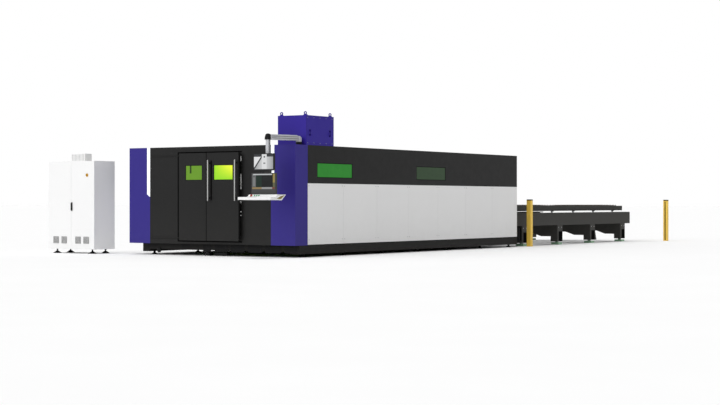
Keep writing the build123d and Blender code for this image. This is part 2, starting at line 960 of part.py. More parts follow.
gantry_beam.part.label = "gantry_beam"
export_step(gantry_beam.part, "parts/gantry_beam.step")

# Carriage that runs along the gantry's cross rails
carriage_span = (carriage_rest - carriage_width, carriage_rest)
carriage_back = beam_run[0] - cross_rail_depth
carriage_front = carriage_back - carriage_depth
with BuildPart() as carriage:
    block(carriage_span, (carriage_front, carriage_back), (carriage_low, carriage_high))
    fillet(carriage.edges().filter_by(Axis.Z).group_by(Axis.Y)[0], carriage_corner)
carriage.part.label = "carriage"
export_step(carriage.part, "parts/carriage.step")

# Cutting head on the carriage's front: slide body, barrel and nozzle in one turned axis
head_centre = middle(carriage_span)
head_run = (carriage_front - head_depth, carriage_front)
with BuildPart() as cutting_head:
    block(around(head_centre, head_width), head_run, (head_low, head_high))
    barrel_low = head_low - barrel_length
    head_rear = middle(head_run)
    rod(head_centre, head_rear, (barrel_low, head_low), barrel_radius)
    nozzle_lean = degrees(
        atan((barrel_radius - nozzle_tip_radius) * cos(pi / many_flats) / nozzle_length)
    )
    nozzle_top = round_face(head_centre, head_rear, barrel_low, barrel_radius, many_flats)
    extrude(nozzle_top, amount=nozzle_length, dir=(0, 0, -1), taper=nozzle_lean)
cutting_head.part.label = "cutting_head"
export_step(cutting_head.part, "parts/cutting_head.step")

# Pallets: a frame of two channels and end beams, bars that hold the slats, and bearing blocks
pallet_run = (pallet_front, pallet_front + pallet_length)
wheel_places = [pallet_front + first_wheel + wheel_pitch * number for number in range(wheel_count)]
channel_right = (pallet_right[0], pallet_right[0] + pallet_web)
flange_right = (pallet_right[0], pallet_right[0] + pallet_flange)
comb_right = (pallet_right[0] + comb_inset, pallet_right[0] + comb_inset + comb_width)
wheel_right = (
    channel_right[1] + wheel_block_length,
    channel_right[1] + wheel_block_length + wheel_width,
)


def pallet_frame(track):
    """Frame of a pallet whose wheels stand on a track of this height."""
    low = track + pallet_frame_low
    high = track + pallet_frame_high
    seat = track + slat_low
    bar_low = track + slat_bar_low
    inner_run = (pallet_run[0] + pallet_end_beam, pallet_run[1] - pallet_end_beam)
    inside = (channel_right[1], 2 * table_centre - channel_right[1])
    for web in both_sides(channel_right):
        block(web, pallet_run, (low, high))
    for flange in both_sides(flange_right):
        block(flange, pallet_run, (low, low + pallet_flange_thickness))
        block(flange, pallet_run, (high - pallet_flange_thickness, high))
    for run in ((pallet_run[0], inner_run[0]), (inner_run[1], pallet_run[1])):
        block(inside, run, (low, high))
    for comb in both_sides(comb_right):
        block(comb, inner_run, (bar_low, seat))
    for number in range(slat_bar_count):
        place = pallet_right[0] + pallet_width * (number + 1) / (slat_bar_count + 1)
        block(around(place, slat_bar), inner_run, (bar_low, seat))
    for place in wheel_places:
        tie = around(place + wheel_pitch / 2, pallet_tie)
        if tie[1] < inner_run[1]:
            block(inside, tie, (bar_low, bar_low + pallet_tie))
        for bearing in both_sides((channel_right[1], wheel_right[0])):
            block(bearing, around(place, wheel_block), around(track + wheel_radius, wheel_block))


def pallet_slats(track):
    """Upright cutting slats across a pallet, standing on its bars."""
    ends = (pallet_right[0] + slat_end_gap, pallet_right[1] - slat_end_gap)
    for number in range(slat_count):
        start = pallet_front + first_slat + slat_pitch * number
        block(ends, (start, start + slat_thickness), (track + slat_low, track + slat_high))


def pallet_wheels(track):
    """Wheels on the bearing blocks inside a pallet's two channels."""
    for place in wheel_places:
        for tread in both_sides(wheel_right):
            with BuildSketch(side_plane(tread[1])) as disc:
                with Locations((place, track + wheel_radius)):
                    RegularPolygon(wheel_radius, wheel_flats)
            extrude(disc.sketch, amount=size(tread))


with BuildPart() as upper_pallet:
    pallet_frame(upper_track)
upper_pallet.part.label = "upper_pallet"
export_step(upper_pallet.part, "parts/upper_pallet.step")

with BuildPart() as upper_slats:
    pallet_slats(upper_track)
upper_slats.part.label = "upper_slats"
export_step(upper_slats.part, "parts/upper_slats.step")

with BuildPart() as upper_wheels:
    pallet_wheels(upper_track)
upper_wheels.part.label = "upper_wheels"
export_step(upper_wheels.part, "parts/upper_wheels.step")

with BuildPart() as lower_pallet:
    pallet_frame(lower_track)
lower_pallet.part.label = "lower_pallet"
export_step(lower_pallet.part, "parts/lower_pallet.step")

with BuildPart() as lower_slats:
    pallet_slats(lower_track)
lower_slats.part.label = "lower_slats"
export_step(lower_slats.part, "parts/lower_slats.step")

with BuildPart() as lower_wheels:
    pallet_wheels(lower_track)
lower_wheels.part.label = "lower_wheels"
export_step(lower_wheels.part, "parts/lower_wheels.step")

# Table stands: haunched portals with a socket in each leg for the lift frame's guide posts
stand_places = [first_stand + stand_pitch * number for number in range(stand_count)]
leg_right = (table_right, table_right + leg_width)
haunch_end = leg_right[1] + haunch_flat
slope_end = haunch_end + haunch_slope
half_outline = (
    (leg_right[0], lift_low),
    (leg_right[0], leg_low),
    (leg_right[1], leg_low),
    (leg_right[1], haunch_low),
    (haunch_end, haunch_low),
    (slope_end, portal_low),
)
portal_outline = half_outline + tuple((2 * table_centre - x, z) for x, z in reversed(half_outline))
socket_size = guide_post + 2 * guide_clearance
with BuildPart() as table_stands:
    for number, place in enumerate(stand_places):
        profile(front_plane(place - leg_depth / 2), portal_outline, leg_depth)
        for leg in both_sides(leg_right):
            block(
                around(middle(leg), socket_size),
                around(place, socket_size),
                (guide_post_low - guide_clearance, lift_low),
                mode=Mode.SUBTRACT,
            )
        for outer in (
            (leg_right[0], leg_right[0] + leg_pocket_depth),
            (2 * table_centre - leg_right[0] - leg_pocket_depth, 2 * table_centre - leg_right[0]),
        ):
            block(
                outer,
                around(place, leg_pocket_width),
                (leg_low, leg_low + leg_pocket_height),
                mode=Mode.SUBTRACT,
            )
        if number == gusset_stand:
            foot_start = place + leg_depth / 2
            with BuildSketch(side_plane(leg_right[0])) as gusset:
                with BuildLine():
                    Line((foot_start, leg_low), (foot_start + gusset_foot, leg_low))
                    TangentArc(
                        (foot_start + gusset_foot, leg_low),
                        (foot_start, leg_low + gusset_height),
                        tangent=gusset_lean,
                    )
                    Line((foot_start, leg_low + gusset_height), (foot_start, leg_low))
                make_face()
            extrude(gusset.sketch, amount=-gusset_thickness)
table_stands.part.label = "table_stands"
export_step(table_stands.part, "parts/table_stands.step")

# Wedge mounts under the legs
with BuildPart() as table_pads:
    for place in stand_places:
        for leg in both_sides(leg_right):
            block(around(middle(leg), pad_size), around(place, pad_size), (0, pad_height))
            block(around(middle(leg), pad_neck), around(place, pad_neck), (pad_height, leg_low))
table_pads.part.label = "table_pads"
export_step(table_pads.part, "parts/table_pads.step")

# Lift frame: two channels with a track for each pallet, ties below, and guide posts in the legs
table_run = (table_front, table_rear)
lift_right = (table_right, table_right + lift_beam_width)
track_right = (lift_right[1], lift_right[1] + track_reach)
with BuildPart() as lift_frame:
    for beam in both_sides(lift_right):
        block(beam, table_run, (lift_low, upper_track))
    for track in both_sides(track_right):
        block(track, table_run, (upper_track - track_thickness, upper_track))
        block(track, table_run, (lower_track - track_thickness, lower_track))
    for place in stand_places:
        block(
            (lift_right[1], 2 * table_centre - lift_right[1]),
            around(place, base_cross),
            (lift_low, lift_low + lift_tie),
        )
        for leg in both_sides(leg_right):
            block(
                around(middle(leg), guide_post),
                around(place, guide_post),
                (guide_post_low, lift_low),
            )
lift_frame.part.label = "lift_frame"
export_step(lift_frame.part, "parts/lift_frame.step")

# Lift drive: a motor and gearbox on the first stand
drive_back = stand_places[0] - leg_depth / 2
drive_centre = leg_right[0] + drive_radius + drive_plate
with BuildPart() as lift_drive:
    block(
        around(drive_centre, 2 * drive_radius),
        (drive_back - drive_plate, drive_back),
        (drive_low, drive_low + drive_length),
    )
    rod(
        drive_centre,
        drive_back - drive_radius,
        (drive_low, drive_low + drive_length),
        drive_radius,
    )
lift_drive.part.label = "lift_drive"
export_step(lift_drive.part, "parts/lift_drive.step")

# Control cabinet shell, open at the front behind its doors
cabinet_span = (cabinet_right, cabinet_left)
cabinet_front = -cabinet_ahead
cabinet_rear = cabinet_front + cabinet_depth
shell_run = (cabinet_front + cabinet_door + leaf_gap, cabinet_rear)
shell_inside = (cabinet_span[0] + cabinet_wall, cabinet_span[1] - cabinet_wall)
with BuildPart() as cabinet_shell:
    block(cabinet_span, shell_run, (cabinet_low, cabinet_top))
    block(
        shell_inside,
        (shell_run[0], cabinet_rear - cabinet_wall),
        (cabinet_low + cabinet_wall, cabinet_top - cabinet_wall),
        mode=Mode.SUBTRACT,
    )
cabinet_shell.part.label = "cabinet_shell"
export_step(cabinet_shell.part, "parts/cabinet_shell.step")

# Cabinet doors, each with its louvred vent plates
cabinet_seam = cabinet_right + cabinet_width / 2
door_run = (cabinet_front, cabinet_front + cabinet_door)
door_height = (cabinet_low + cabinet_door_edge, cabinet_top - cabinet_door_edge)


def vent(place):
    """Louvred vent plate on a door, this far from the cabinet's right side."""
    span = around(cabinet_right + place, vent_size)
    block(span, (cabinet_front - vent_depth, cabinet_front), (vent_low, vent_low + vent_size))
    slot_pitch = vent_size / (vent_slots + 1)
    for number in range(vent_slots):
        low = vent_low + slot_pitch * (number + 1) - vent_slot / 2
        slot_span = (span[0] + vent_slot, span[1] - vent_slot)
        slot_run = (cabinet_front - vent_depth, cabinet_front - vent_depth + vent_slot_depth)
        block(slot_span, slot_run, (low, low + vent_slot), mode=Mode.SUBTRACT)


with BuildPart() as cabinet_door_right:
    block((cabinet_right, cabinet_seam - cabinet_door_gap / 2), door_run, door_height)
    for place in vent_places[:2]:
        vent(place)
cabinet_door_right.part.label = "cabinet_door_right"
export_step(cabinet_door_right.part, "parts/cabinet_door_right.step")

with BuildPart() as cabinet_door_left:
    block((cabinet_seam + cabinet_door_gap / 2, cabinet_left), door_run, door_height)
    for place in vent_places[2:]:
        vent(place)
cabinet_door_left.part.label = "cabinet_door_left"
export_step(cabinet_door_left.part, "parts/cabinet_door_left.step")

# Swing lever of the right door
lever_centre = cabinet_seam - cabinet_door_gap / 2 - lever_inset
with BuildPart() as cabinet_lever:
    block(
        around(lever_centre, lever_width),
        (cabinet_front - lever_depth, cabinet_front),
        (lever_low, lever_high),
    )
    fillet(cabinet_lever.edges().filter_by(Axis.Y), lever_corner)
cabinet_lever.part.label = "cabinet_lever"
export_step(cabinet_lever.part, "parts/cabinet_lever.step")

# Main switch: a disc with an upright grip across it
with BuildPart() as main_switch:
    switch_centre = cabinet_right + switch_right
    with BuildSketch(front_plane(cabinet_front)):
        with Locations((switch_centre, switch_height)):
            RegularPolygon(switch_radius, few_flats)
    extrude(amount=-switch_disc)
    block(
        around(switch_centre, switch_grip),
        (cabinet_front - switch_depth, cabinet_front - switch_disc),
        around(switch_height, switch_grip_length),
    )
main_switch.part.label = "main_switch"
export_step(main_switch.part, "parts/main_switch.step")

# Fan hood in the middle of the cabinet's roof, with upright slots
fan_span = around(cabinet_seam, fan_width)
fan_run = around(cabinet_front + cabinet_depth / 2, fan_depth)
fan_top = cabinet_top + fan_height
slot_height = (cabinet_top + fan_slot, fan_top - fan_slot)
with BuildPart() as fan_hood:
    block(fan_span, fan_run, (cabinet_top, fan_top))
    slot_pitch = fan_width / (fan_slots + 1)
    for number in range(fan_slots):
        slot = around(fan_span[0] + slot_pitch * (number + 1), fan_slot)
        block(slot, (fan_run[0], fan_run[0] + fan_slot_depth), slot_height, mode=Mode.SUBTRACT)
fan_hood.part.label = "fan_hood"
export_step(fan_hood.part, "parts/fan_hood.step")

# Cabinet feet
with BuildPart() as cabinet_feet:
    for left in (cabinet_right + cabinet_foot_side, cabinet_left - cabinet_foot_side):
        for rear in (cabinet_front + cabinet_foot_inset, cabinet_rear - cabinet_foot_inset):
            foot(left, rear, cabinet_low, cabinet_foot_base, cabinet_foot_neck)
cabinet_feet.part.label = "cabinet_feet"
export_step(cabinet_feet.part, "parts/cabinet_feet.step")

# Mounting plate with a row of drive modules
plate_span = (shell_inside[0] + plate_side, shell_inside[1] - plate_side)
plate_back = cabinet_rear - cabinet_wall
with BuildPart() as mounting_plate:
    block(plate_span, (plate_back - plate_thickness, plate_back), (plate_low, plate_high))
    module_run = (plate_back - plate_thickness - module_depth, plate_back - plate_thickness)
    module_start = plate_span[0] + module_gap
    while module_start + module_width < plate_span[1]:
        module = (module_start, module_start + module_width)
        block(module, module_run, (module_low, module_high))
        module_start = module_start + module_width + module_gap
mounting_plate.part.label = "mounting_plate"
export_step(mounting_plate.part, "parts/mounting_plate.step")

# Guard posts with their light-curtain slots facing each other, and their caps
post_places = ((-front_post_out, front_post_rear, 1), (-rear_post_out, rear_post_rear, -1))


def post_section(left, rear, up):
    """Square post or cap with rounded corners."""
    with BuildSketch(Plane.XY.offset(up[0])) as section:
        with Locations((across(left), back(rear))):
            RectangleRounded(post_size, post_size, post_corner)
    extrude(section.sketch, amount=size(up))


with BuildPart() as guard_posts:
    for left, rear, facing in post_places:
        post_section(left, rear, (0, post_height))
        slot_face = rear + facing * post_size / 2
        block(
            around(left, post_slot),
            sorted((slot_face - facing * post_slot_depth, slot_face)),
            (post_slot_end, post_height - post_slot_end),
            mode=Mode.SUBTRACT,
        )
guard_posts.part.label = "guard_posts"
export_step(guard_posts.part, "parts/guard_posts.step")

with BuildPart() as post_caps:
    for left, rear, facing in post_places:
        post_section(left, rear, (post_height, post_height + cap_height))
post_caps.part.label = "post_caps"
export_step(post_caps.part, "parts/post_caps.step")
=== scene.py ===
# %% [markdown]
# # A sheet laser cutting machine
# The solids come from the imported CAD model, which is a fixed frame: Blender never moves them. This
# script gives every solid its finish, adds the small pieces that are too fine for the solids, and
# lights the whole like a catalogue picture. All lengths are metres in the model's own frame: X to
# the machine's right, Y from the operator to the exchange table, Z up from the floor.

import math

import bmesh
import bpy
from mathutils import Matrix, Vector


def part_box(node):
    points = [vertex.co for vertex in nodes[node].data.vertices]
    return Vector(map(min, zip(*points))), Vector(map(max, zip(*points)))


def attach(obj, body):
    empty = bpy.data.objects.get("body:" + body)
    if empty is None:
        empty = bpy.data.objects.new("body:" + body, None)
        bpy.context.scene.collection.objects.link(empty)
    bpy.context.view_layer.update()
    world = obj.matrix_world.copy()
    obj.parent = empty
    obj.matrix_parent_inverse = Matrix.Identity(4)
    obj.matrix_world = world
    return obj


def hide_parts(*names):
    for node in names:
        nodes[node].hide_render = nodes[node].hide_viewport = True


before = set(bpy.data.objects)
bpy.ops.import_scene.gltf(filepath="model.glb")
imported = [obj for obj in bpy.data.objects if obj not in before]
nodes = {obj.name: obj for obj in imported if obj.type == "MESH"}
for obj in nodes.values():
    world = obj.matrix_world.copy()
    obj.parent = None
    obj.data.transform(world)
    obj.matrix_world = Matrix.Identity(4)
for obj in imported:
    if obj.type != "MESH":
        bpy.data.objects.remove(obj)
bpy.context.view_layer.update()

# %% [markdown]
# ## Shader arithmetic
# A finish is easier to read as an expression than as a list of links. This class wraps one output
# socket of a node. Python's operators on it add Math nodes, and node() adds any other kind.


# %% Sockets that do arithmetic
class Flow:
    """One output socket in a material's tree. Arithmetic on it adds Math nodes."""

    def __init__(self, tree, socket=None):
        self.tree = tree
        self.socket = socket

    def node(self, kind, settings=None, inputs=None, output=0):
        """Add a node of any kind: its settings first, then values or links for its sockets."""
        made = self.tree.nodes.new(kind)
        for name, value in (settings or {}).items():
            setattr(made, name, value)
        sockets = {s.name: s for s in made.inputs if s.enabled}
        sockets |= {s.identifier: s for s in made.inputs}
        for name, value in (inputs or {}).items():
            self.feed(sockets[name], value)
        return Flow(self.tree, made.outputs[output])

    def feed(self, target, value):
        """Link a Flow to a socket, or write a plain value into it."""
        if isinstance(value, Flow):
            self.tree.links.new(value.socket, target)
        else:
            target.default_value = value

    def math(self, operation, first, second):
        """A Math node on two values, each a Flow or a plain number."""
        inputs = {"Value": first, "Value_001": second}
        return self.node("ShaderNodeMath", {"operation": operation}, inputs)

    def at_least(self, floor):
        return self.math("MAXIMUM", self, floor)

    def at_most(self, ceiling):
        return self.math("MINIMUM", self, ceiling)

    def inside(self, low, high):
        """A mask: 1 between two values and 0 elsewhere."""
        return (self > low) * (self < high)

    def mix(self, factor, first, second):
        """A colour between two others."""
        settings = {"data_type": "RGBA", "clamp_factor": True}
        inputs = {"Factor_Float": factor, "A_Color": first, "B_Color": second}
        return self.node("ShaderNodeMix", settings, inputs, output=2)

    def __add__(self, other):
        return self.math("ADD", self, other)

    def __sub__(self, other):
        return self.math("SUBTRACT", self, other)

    def __rsub__(self, other):
        return self.math("SUBTRACT", other, self)

    def __mul__(self, other):
        return self.math("MULTIPLY", self, other)

    def __truediv__(self, other):
        return self.math("DIVIDE", self, other)

    def __gt__(self, other):
        return self.math("GREATER_THAN", self, other)

    def __lt__(self, other):
        return self.math("LESS_THAN", self, other)

    __radd__ = __add__
    __rmul__ = __mul__


print("Flow is ready")

# %% [markdown]
# ## Colours
# Paint is given as screen values from 0 to 255, but shaders work in linear light, so each
# colour is converted once, here.


# %% Screen colours to linear
def tint(red, green, blue):
    """A linear colour with alpha from three screen values."""
    channels = []
    for value in (red, green, blue):
        share = value / 255
        channels.append(share / 12.92 if share <= 0.04045 else ((share + 0.055) / 1.055) ** 2.4)
    return (*channels, 1.0)


def shade(colour, factor):
    """The same colour, darker or lighter."""
    return (*[min(1.0, c * factor) for c in colour[:3]], 1.0)


print("white paint is", [round(c, 3) for c in tint(235, 236, 238)])

# %% [markdown]
# ## A material and its common parts
# Every finish here is one Principled shader. start() makes it and returns a Flow on its Object
# coordinates, which are the model's own metres, so a grain has its real size on every piece.


# %% Start a material
materials = {}


def start(name, metallic=0.0, specular=0.5):
    """A new material: (Flow on Object coordinates, its Principled shader node)."""
    material = bpy.data.materials.new(name)
    material.use_nodes = True
    tree = material.node_tree
    surface = tree.nodes["Principled BSDF"]
    surface.inputs["Metallic"].default_value = metallic
    surface.inputs["Specular IOR Level"].default_value = specular
    materials[name] = material
    return Flow(tree).node("ShaderNodeTexCoord", output=3), surface


def noise(place, scale, detail=3.0, stretch=(1, 1, 1)):
    """Noise of about one lump in 1/scale metres, drawn out along an axis if asked."""
    if stretch != (1, 1, 1):
        place = place.node("ShaderNodeMapping", None, {"Vector": place, "Scale": stretch})
    inputs = {"Vector": place, "Scale": scale, "Detail": detail, "Roughness": 0.55}
    return place.node("ShaderNodeTexNoise", None, inputs)


def emboss(place, surface, height, strength, distance):
    """Let a height push the surface's normals."""
    inputs = {"Height": height, "Strength": strength, "Distance": distance}
    place.feed(surface.inputs["Normal"], place.node("ShaderNodeBump", None, inputs))


def part_of(place, axis):
    """The X, Y or Z of the place, in metres."""
    return place.node("ShaderNodeSeparateXYZ", None, {"Vector": place}, output="XYZ".index(axis))


print("materials start from one Principled shader")

# %% [markdown]
# ## Powder coat
# The cover plates are powder coated. A powder coat has a fine orange-peel grain of about a
# millimetre, a slow drift of shade across a plate, and a film of workshop dust that is thickest
# near the floor. Three noises at three scales give that, and the grain goes to the normal.


# %% Powder coat
dust_height, dust_colour = 1.1, tint(150, 146, 138)
slow_scale, fine_scale, grain_scale = 0.9, 7.0, 620.0
coat_swing = 0.16


def powder_coat(name, colour, roughness, specular, dust, drift):
    """A powder coat with its share of dust and its drift from a darker to a lighter tone."""
    place, surface = start(name, specular=specular)
    slow = noise(place, slow_scale, 2.0)
    fine = noise(place, fine_scale, 4.0)
    grain = noise(place, grain_scale, 2.0)
    toned = place.mix(slow, shade(colour, 1 - drift), shade(colour, 1 + drift))
    low = (1.0 - part_of(place, "Z") / dust_height).at_least(0.0)
    film = (low * fine * dust * 2.0).at_most(1.0)
    place.feed(surface.inputs["Base Color"], place.mix(film, toned, dust_colour))
    dull = fine * coat_swing + (roughness - coat_swing / 2) + grain * 0.04
    place.feed(surface.inputs["Roughness"], dull)
    emboss(place, surface, grain, 0.25, 0.0004)


powder_coat("violet_coat", tint(52, 43, 129), 0.42, 0.1, 0.02, 0.05)
powder_coat("tower_coat", tint(49, 35, 141), 0.4, 0.1, 0.0, 0.05)
powder_coat("graphite_coat", tint(31, 31, 31), 0.5, 0.1, 0.02, 0.08)
powder_coat("white_coat", tint(234, 234, 234), 0.45, 0.3, 0.06, 0.015)
powder_coat("cabinet_coat", tint(240, 240, 240), 0.45, 0.2, 0.02, 0.012)
# The shell has the cabinet's white painted lighter and glossier, as painted light for its shaded
# side.
powder_coat("shell_coat_painted_lighter", tint(255, 255, 253), 0.45, 0.4, 0.0, 0.01)
powder_coat("frame_coat", tint(20, 20, 20), 0.55, 0.08, 0.03, 0.1)
powder_coat("table_coat", tint(52, 52, 50), 0.55, 0.12, 0.07, 0.09)
powder_coat("gantry_coat", tint(176, 178, 182), 0.45, 0.3, 0.05, 0.03)
powder_coat("post_coat", tint(247, 206, 88), 0.35, 0.2, 0.02, 0.04)
powder_coat("pad_coat", tint(150, 190, 158), 0.5, 0.3, 0.06, 0.08)
powder_coat("arm_coat", tint(188, 189, 193), 0.35, 0.3, 0.0, 0.02)
powder_coat("tray_coat", tint(236, 236, 236), 0.35, 0.3, 0.0, 0.015)
print("powder coats:", len(materials))

# %% [markdown]
# ## Bare metal
# Ground rails, rolled plates and cut slats are bare. Their surface has lines along the way that
# they were ground or rolled. The shader's own anisotropy would need tangents on every solid, so a
# noise is drawn out along one axis instead, and it feeds both the roughness and a shallow bump.
# Heat and splashes stain the slats brown.


# %% Bare metal
line_swing, blotch_start = 0.2, 0.45


def bare_metal(name, colour, roughness, lines=(1, 1, 40), stain=None):
    """A metal with lines along the axis of the smallest number, and with stains if asked."""
    place, surface = start(name, metallic=1.0)
    brushed = noise(place, 30.0, 5.0, lines)
    blotch = noise(place, 6.0, 4.0)
    toned = place.mix(brushed, shade(colour, 0.82), shade(colour, 1.12))
    if stain:
        spots = ((blotch - blotch_start) * 3.5).at_least(0.0).at_most(1.0)
        toned = place.mix(spots, toned, stain)
        place.feed(surface.inputs["Metallic"], 1.0 - spots * 0.5)
    place.feed(surface.inputs["Base Color"], toned)
    dull = brushed * line_swing + (roughness - line_swing / 2) + blotch * 0.08
    place.feed(surface.inputs["Roughness"], dull)
    emboss(place, surface, brushed, 0.15, 0.0003)


bare_metal("ground_steel", tint(196, 198, 202), 0.3, (1, 0.02, 1))
bare_metal("handle_metal", tint(150, 150, 149), 0.32, (1, 1, 0.03))
bare_metal("slat_steel", tint(92, 88, 84), 0.5, (0.03, 1, 1), tint(64, 48, 38))
bare_metal("zinc_plate", tint(190, 190, 180), 0.4, (1, 1, 0.05))
bare_metal("bolt_steel", tint(150, 152, 155), 0.35)
print("metals are ready")

# %% [markdown]
# ## Plastics and rubber
# Moulded plastic has a spark-eroded grain and soft wear where hands touch it. Rubber is duller,
# nearly black, and chalks a little. One function makes both, because they differ only in values:
# a fine noise is the grain, and a coarse one is the wear.


# %% Plastics and rubber
wear_scale, pit_scale, wear_swing = 14.0, 900.0, 0.14


def moulded(name, colour, roughness, specular):
    """A moulded plastic or a rubber with wear in its shade and pits in its face."""
    place, surface = start(name, specular=specular)
    rubbed = noise(place, wear_scale, 4.0)
    pitted = noise(place, pit_scale, 2.0)
    toned = place.mix(rubbed, shade(colour, 0.92), shade(colour, 1.08))
    place.feed(surface.inputs["Base Color"], toned)
    place.feed(surface.inputs["Roughness"], rubbed * wear_swing + (roughness - wear_swing / 2))
    emboss(place, surface, pitted, 0.2, 0.0003)


moulded("black_plastic", tint(24, 24, 25), 0.5, 0.15)
moulded("panel_plastic", tint(62, 62, 62), 0.5, 0.15)
# Cast black for feet and fittings, and also the painted shade on the base front.
moulded("cast_black", tint(18, 18, 19), 0.6, 0.12)
moulded("rubber", tint(12, 12, 12), 0.75, 0.08)
# A near black that is painted shade in gaps and pockets, and the colour of the dark washers.
moulded("black_and_painted_shade", tint(5, 5, 5), 0.9, 0.02)
moulded("stop_red", tint(158, 8, 16), 0.35, 0.2)
moulded("key_green", tint(40, 146, 88), 0.35, 0.3)
moulded("switch_yellow", tint(206, 156, 36), 0.4, 0.3)
moulded("fan_grey", tint(236, 236, 236), 0.5, 0.2)
moulded("vent_grey", tint(122, 122, 122), 0.6, 0.15)
# Painted shade for the grooves of the arm and the drop tube.
moulded("groove_shade_grey", tint(104, 105, 108), 0.6, 0.15)
moulded("slot_grey", tint(176, 176, 176), 0.6, 0.15)
moulded("key_white", tint(222, 222, 220), 0.45, 0.3)
moulded("key_dark", tint(84, 86, 90), 0.45, 0.3)
moulded("badge_olive", tint(132, 118, 58), 0.4, 0.2)
print("plastics are ready")

# %% [markdown]
# ## Laser-safe panes
# The panes are thick tinted acrylic, and from outside they look like evenly lit colour fields. Glass
# lit from behind would be noisy at few samples. So most of a pane's colour is its own glow, under a
# smooth face: painted light, for the panes are no lamps. The glow drifts across the door's right
# pane and is brightest in its upper right corner, a painted pool of light. The left pane shows a
# darker band, a post behind it painted in shade, and the side panes are painted lit in front and
# in shade further back.


# %% Panes
glow_share = 0.62


def pane_finish(name):
    """A new pane: (Flow on the place, its shader, and a slow cloud for its colour)."""
    place, surface = start(name, specular=0.08)
    cloud = noise(place, 5.0, 2.0)
    place.feed(surface.inputs["Roughness"], cloud * 0.06 + 0.16)
    surface.inputs["Emission Strength"].default_value = glow_share
    return place, surface, cloud


def glow(place, surface, colour):
    """Let a pane glow in a colour, and keep the rest of it for the light that falls on it."""
    place.feed(surface.inputs["Emission Color"], colour)
    place.feed(surface.inputs["Base Color"], place.mix(glow_share, colour, (0, 0, 0, 1)))


low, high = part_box("door_window_leading")
place, surface, cloud = pane_finish("bright_pane")
rightwards = (part_of(place, "X") - low.x) / (high.x - low.x)
upwards = (part_of(place, "Z") - low.z) / (high.z - low.z)
# Painted light: the glow is painted brightest towards the pane's upper right corner.
rise = rightwards * upwards * 1.5 + (cloud - 0.5) * 0.12
glow(place, surface, place.mix(rise, tint(152, 222, 44), tint(236, 250, 62)))

low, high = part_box("door_window_trailing")
place, surface, cloud = pane_finish("olive_pane")
toned = place.mix(cloud, tint(100, 146, 40), tint(108, 154, 46))
# A darker band is painted shade, where a post behind the pane blocks the light.
shaded_post_right, shaded_post_width, shaded_post_low = low.x + 0.154, 0.046, low.z + 0.142
shaded_post = part_of(place, "X").inside(shaded_post_right - shaded_post_width, shaded_post_right)
shaded_post = shaded_post * (part_of(place, "Z") > shaded_post_low)
glow(place, surface, place.mix(shaded_post, toned, tint(46, 70, 24)))

low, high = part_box("side_windows")
place, surface, cloud = pane_finish("side_pane")
window_length, fade_run = 1.29, 0.2
front_pane_end = low.y + window_length
# The front part of each side pane is painted lit, and the part behind it is painted in shade.
painted_lit_side = place.mix(cloud, tint(36, 122, 38), tint(44, 136, 44))
painted_shaded_side = place.mix(cloud, tint(42, 62, 40), tint(48, 70, 46))
rise = (part_of(place, "Y") - front_pane_end) / fade_run
glow(place, surface, place.mix(rise, painted_lit_side, painted_shaded_side))
print("panes glow with", glow_share, "of their colour")

# %% [markdown]
# ## Lamp strips
# The two corner strips are opal diffusers over white lamps. A lamp behind a translucent sheet would
# be the real thing, but it needs many samples to look smooth, so the sheet itself glows a little.

# %% Lamp strips
place, surface = start("lamp_opal", specular=0.4)
frosting = noise(place, 40.0, 3.0)
opal = place.mix(frosting, tint(236, 240, 244), tint(250, 252, 253))
place.feed(surface.inputs["Base Color"], opal)
place.feed(surface.inputs["Roughness"], frosting * 0.2 + 0.25)
surface.inputs["Emission Color"].default_value = tint(250, 252, 255)
surface.inputs["Emission Strength"].default_value = 0.35
print("lamp strips are ready")

# %% [markdown]
# ## Screens
# The upper screen shows a plain camera picture and the lower one a plain control page. A picture
# file could be laid on each. Here both are only fields of colour, made of masks on the place: a
# mask is 1 inside its span and 0 outside, and each field is mixed over the ones before it.

# %% The control page
bezel, screen_gap = 0.016, 0.05
monitor_low, monitor_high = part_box("upper_monitor")
page_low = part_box("screens")[0]
page_top = monitor_low.z - screen_gap - bezel
place, surface = start("screen_page", specular=0.06)
cloud = noise(place, 14.0, 3.0)
across, up = part_of(place, "X"), part_of(place, "Z")
page_across = (across - page_low.x) / (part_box("screens")[1].x - page_low.x)
page_up = (up - page_low.z) / (page_top - page_low.z)
page = place.mix(cloud, tint(24, 25, 24), tint(30, 31, 30))
# Each field: its left, right, bottom and top as shares of the page, and its colour.
page_fields = (
    (0.167, 0.42, 0.245, 0.895, tint(30, 46, 38)),
    (0.46, 0.82, 0.62, 0.84, tint(30, 33, 32)),
    (0.00, 0.167, 0.245, 1.00, tint(98, 100, 100)),
    (0.04, 0.13, 0.30, 0.80, tint(124, 126, 126)),
    (0.91, 1.00, 0.50, 1.00, tint(150, 134, 78)),
    (0.91, 1.00, 0.236, 0.50, tint(96, 98, 72)),
    (0.00, 1.00, 0.00, 0.128, tint(72, 72, 72)),
    (0.00, 0.42, 0.128, 0.236, tint(144, 124, 86)),
    (0.42, 0.88, 0.128, 0.236, tint(150, 150, 150)),
    (0.88, 1.00, 0.128, 0.236, tint(116, 68, 58)),
    (0.04, 0.87, 0.93, 1.00, tint(188, 191, 192)),
)
for start_at, end_at, low_at, high_at, colour in page_fields:
    mask = page_across.inside(start_at, end_at) * page_up.inside(low_at, high_at)
    page = place.mix(mask, page, colour)
print("the page is", round(page_top - page_low.z, 2), "m high, with", len(page_fields), "fields")

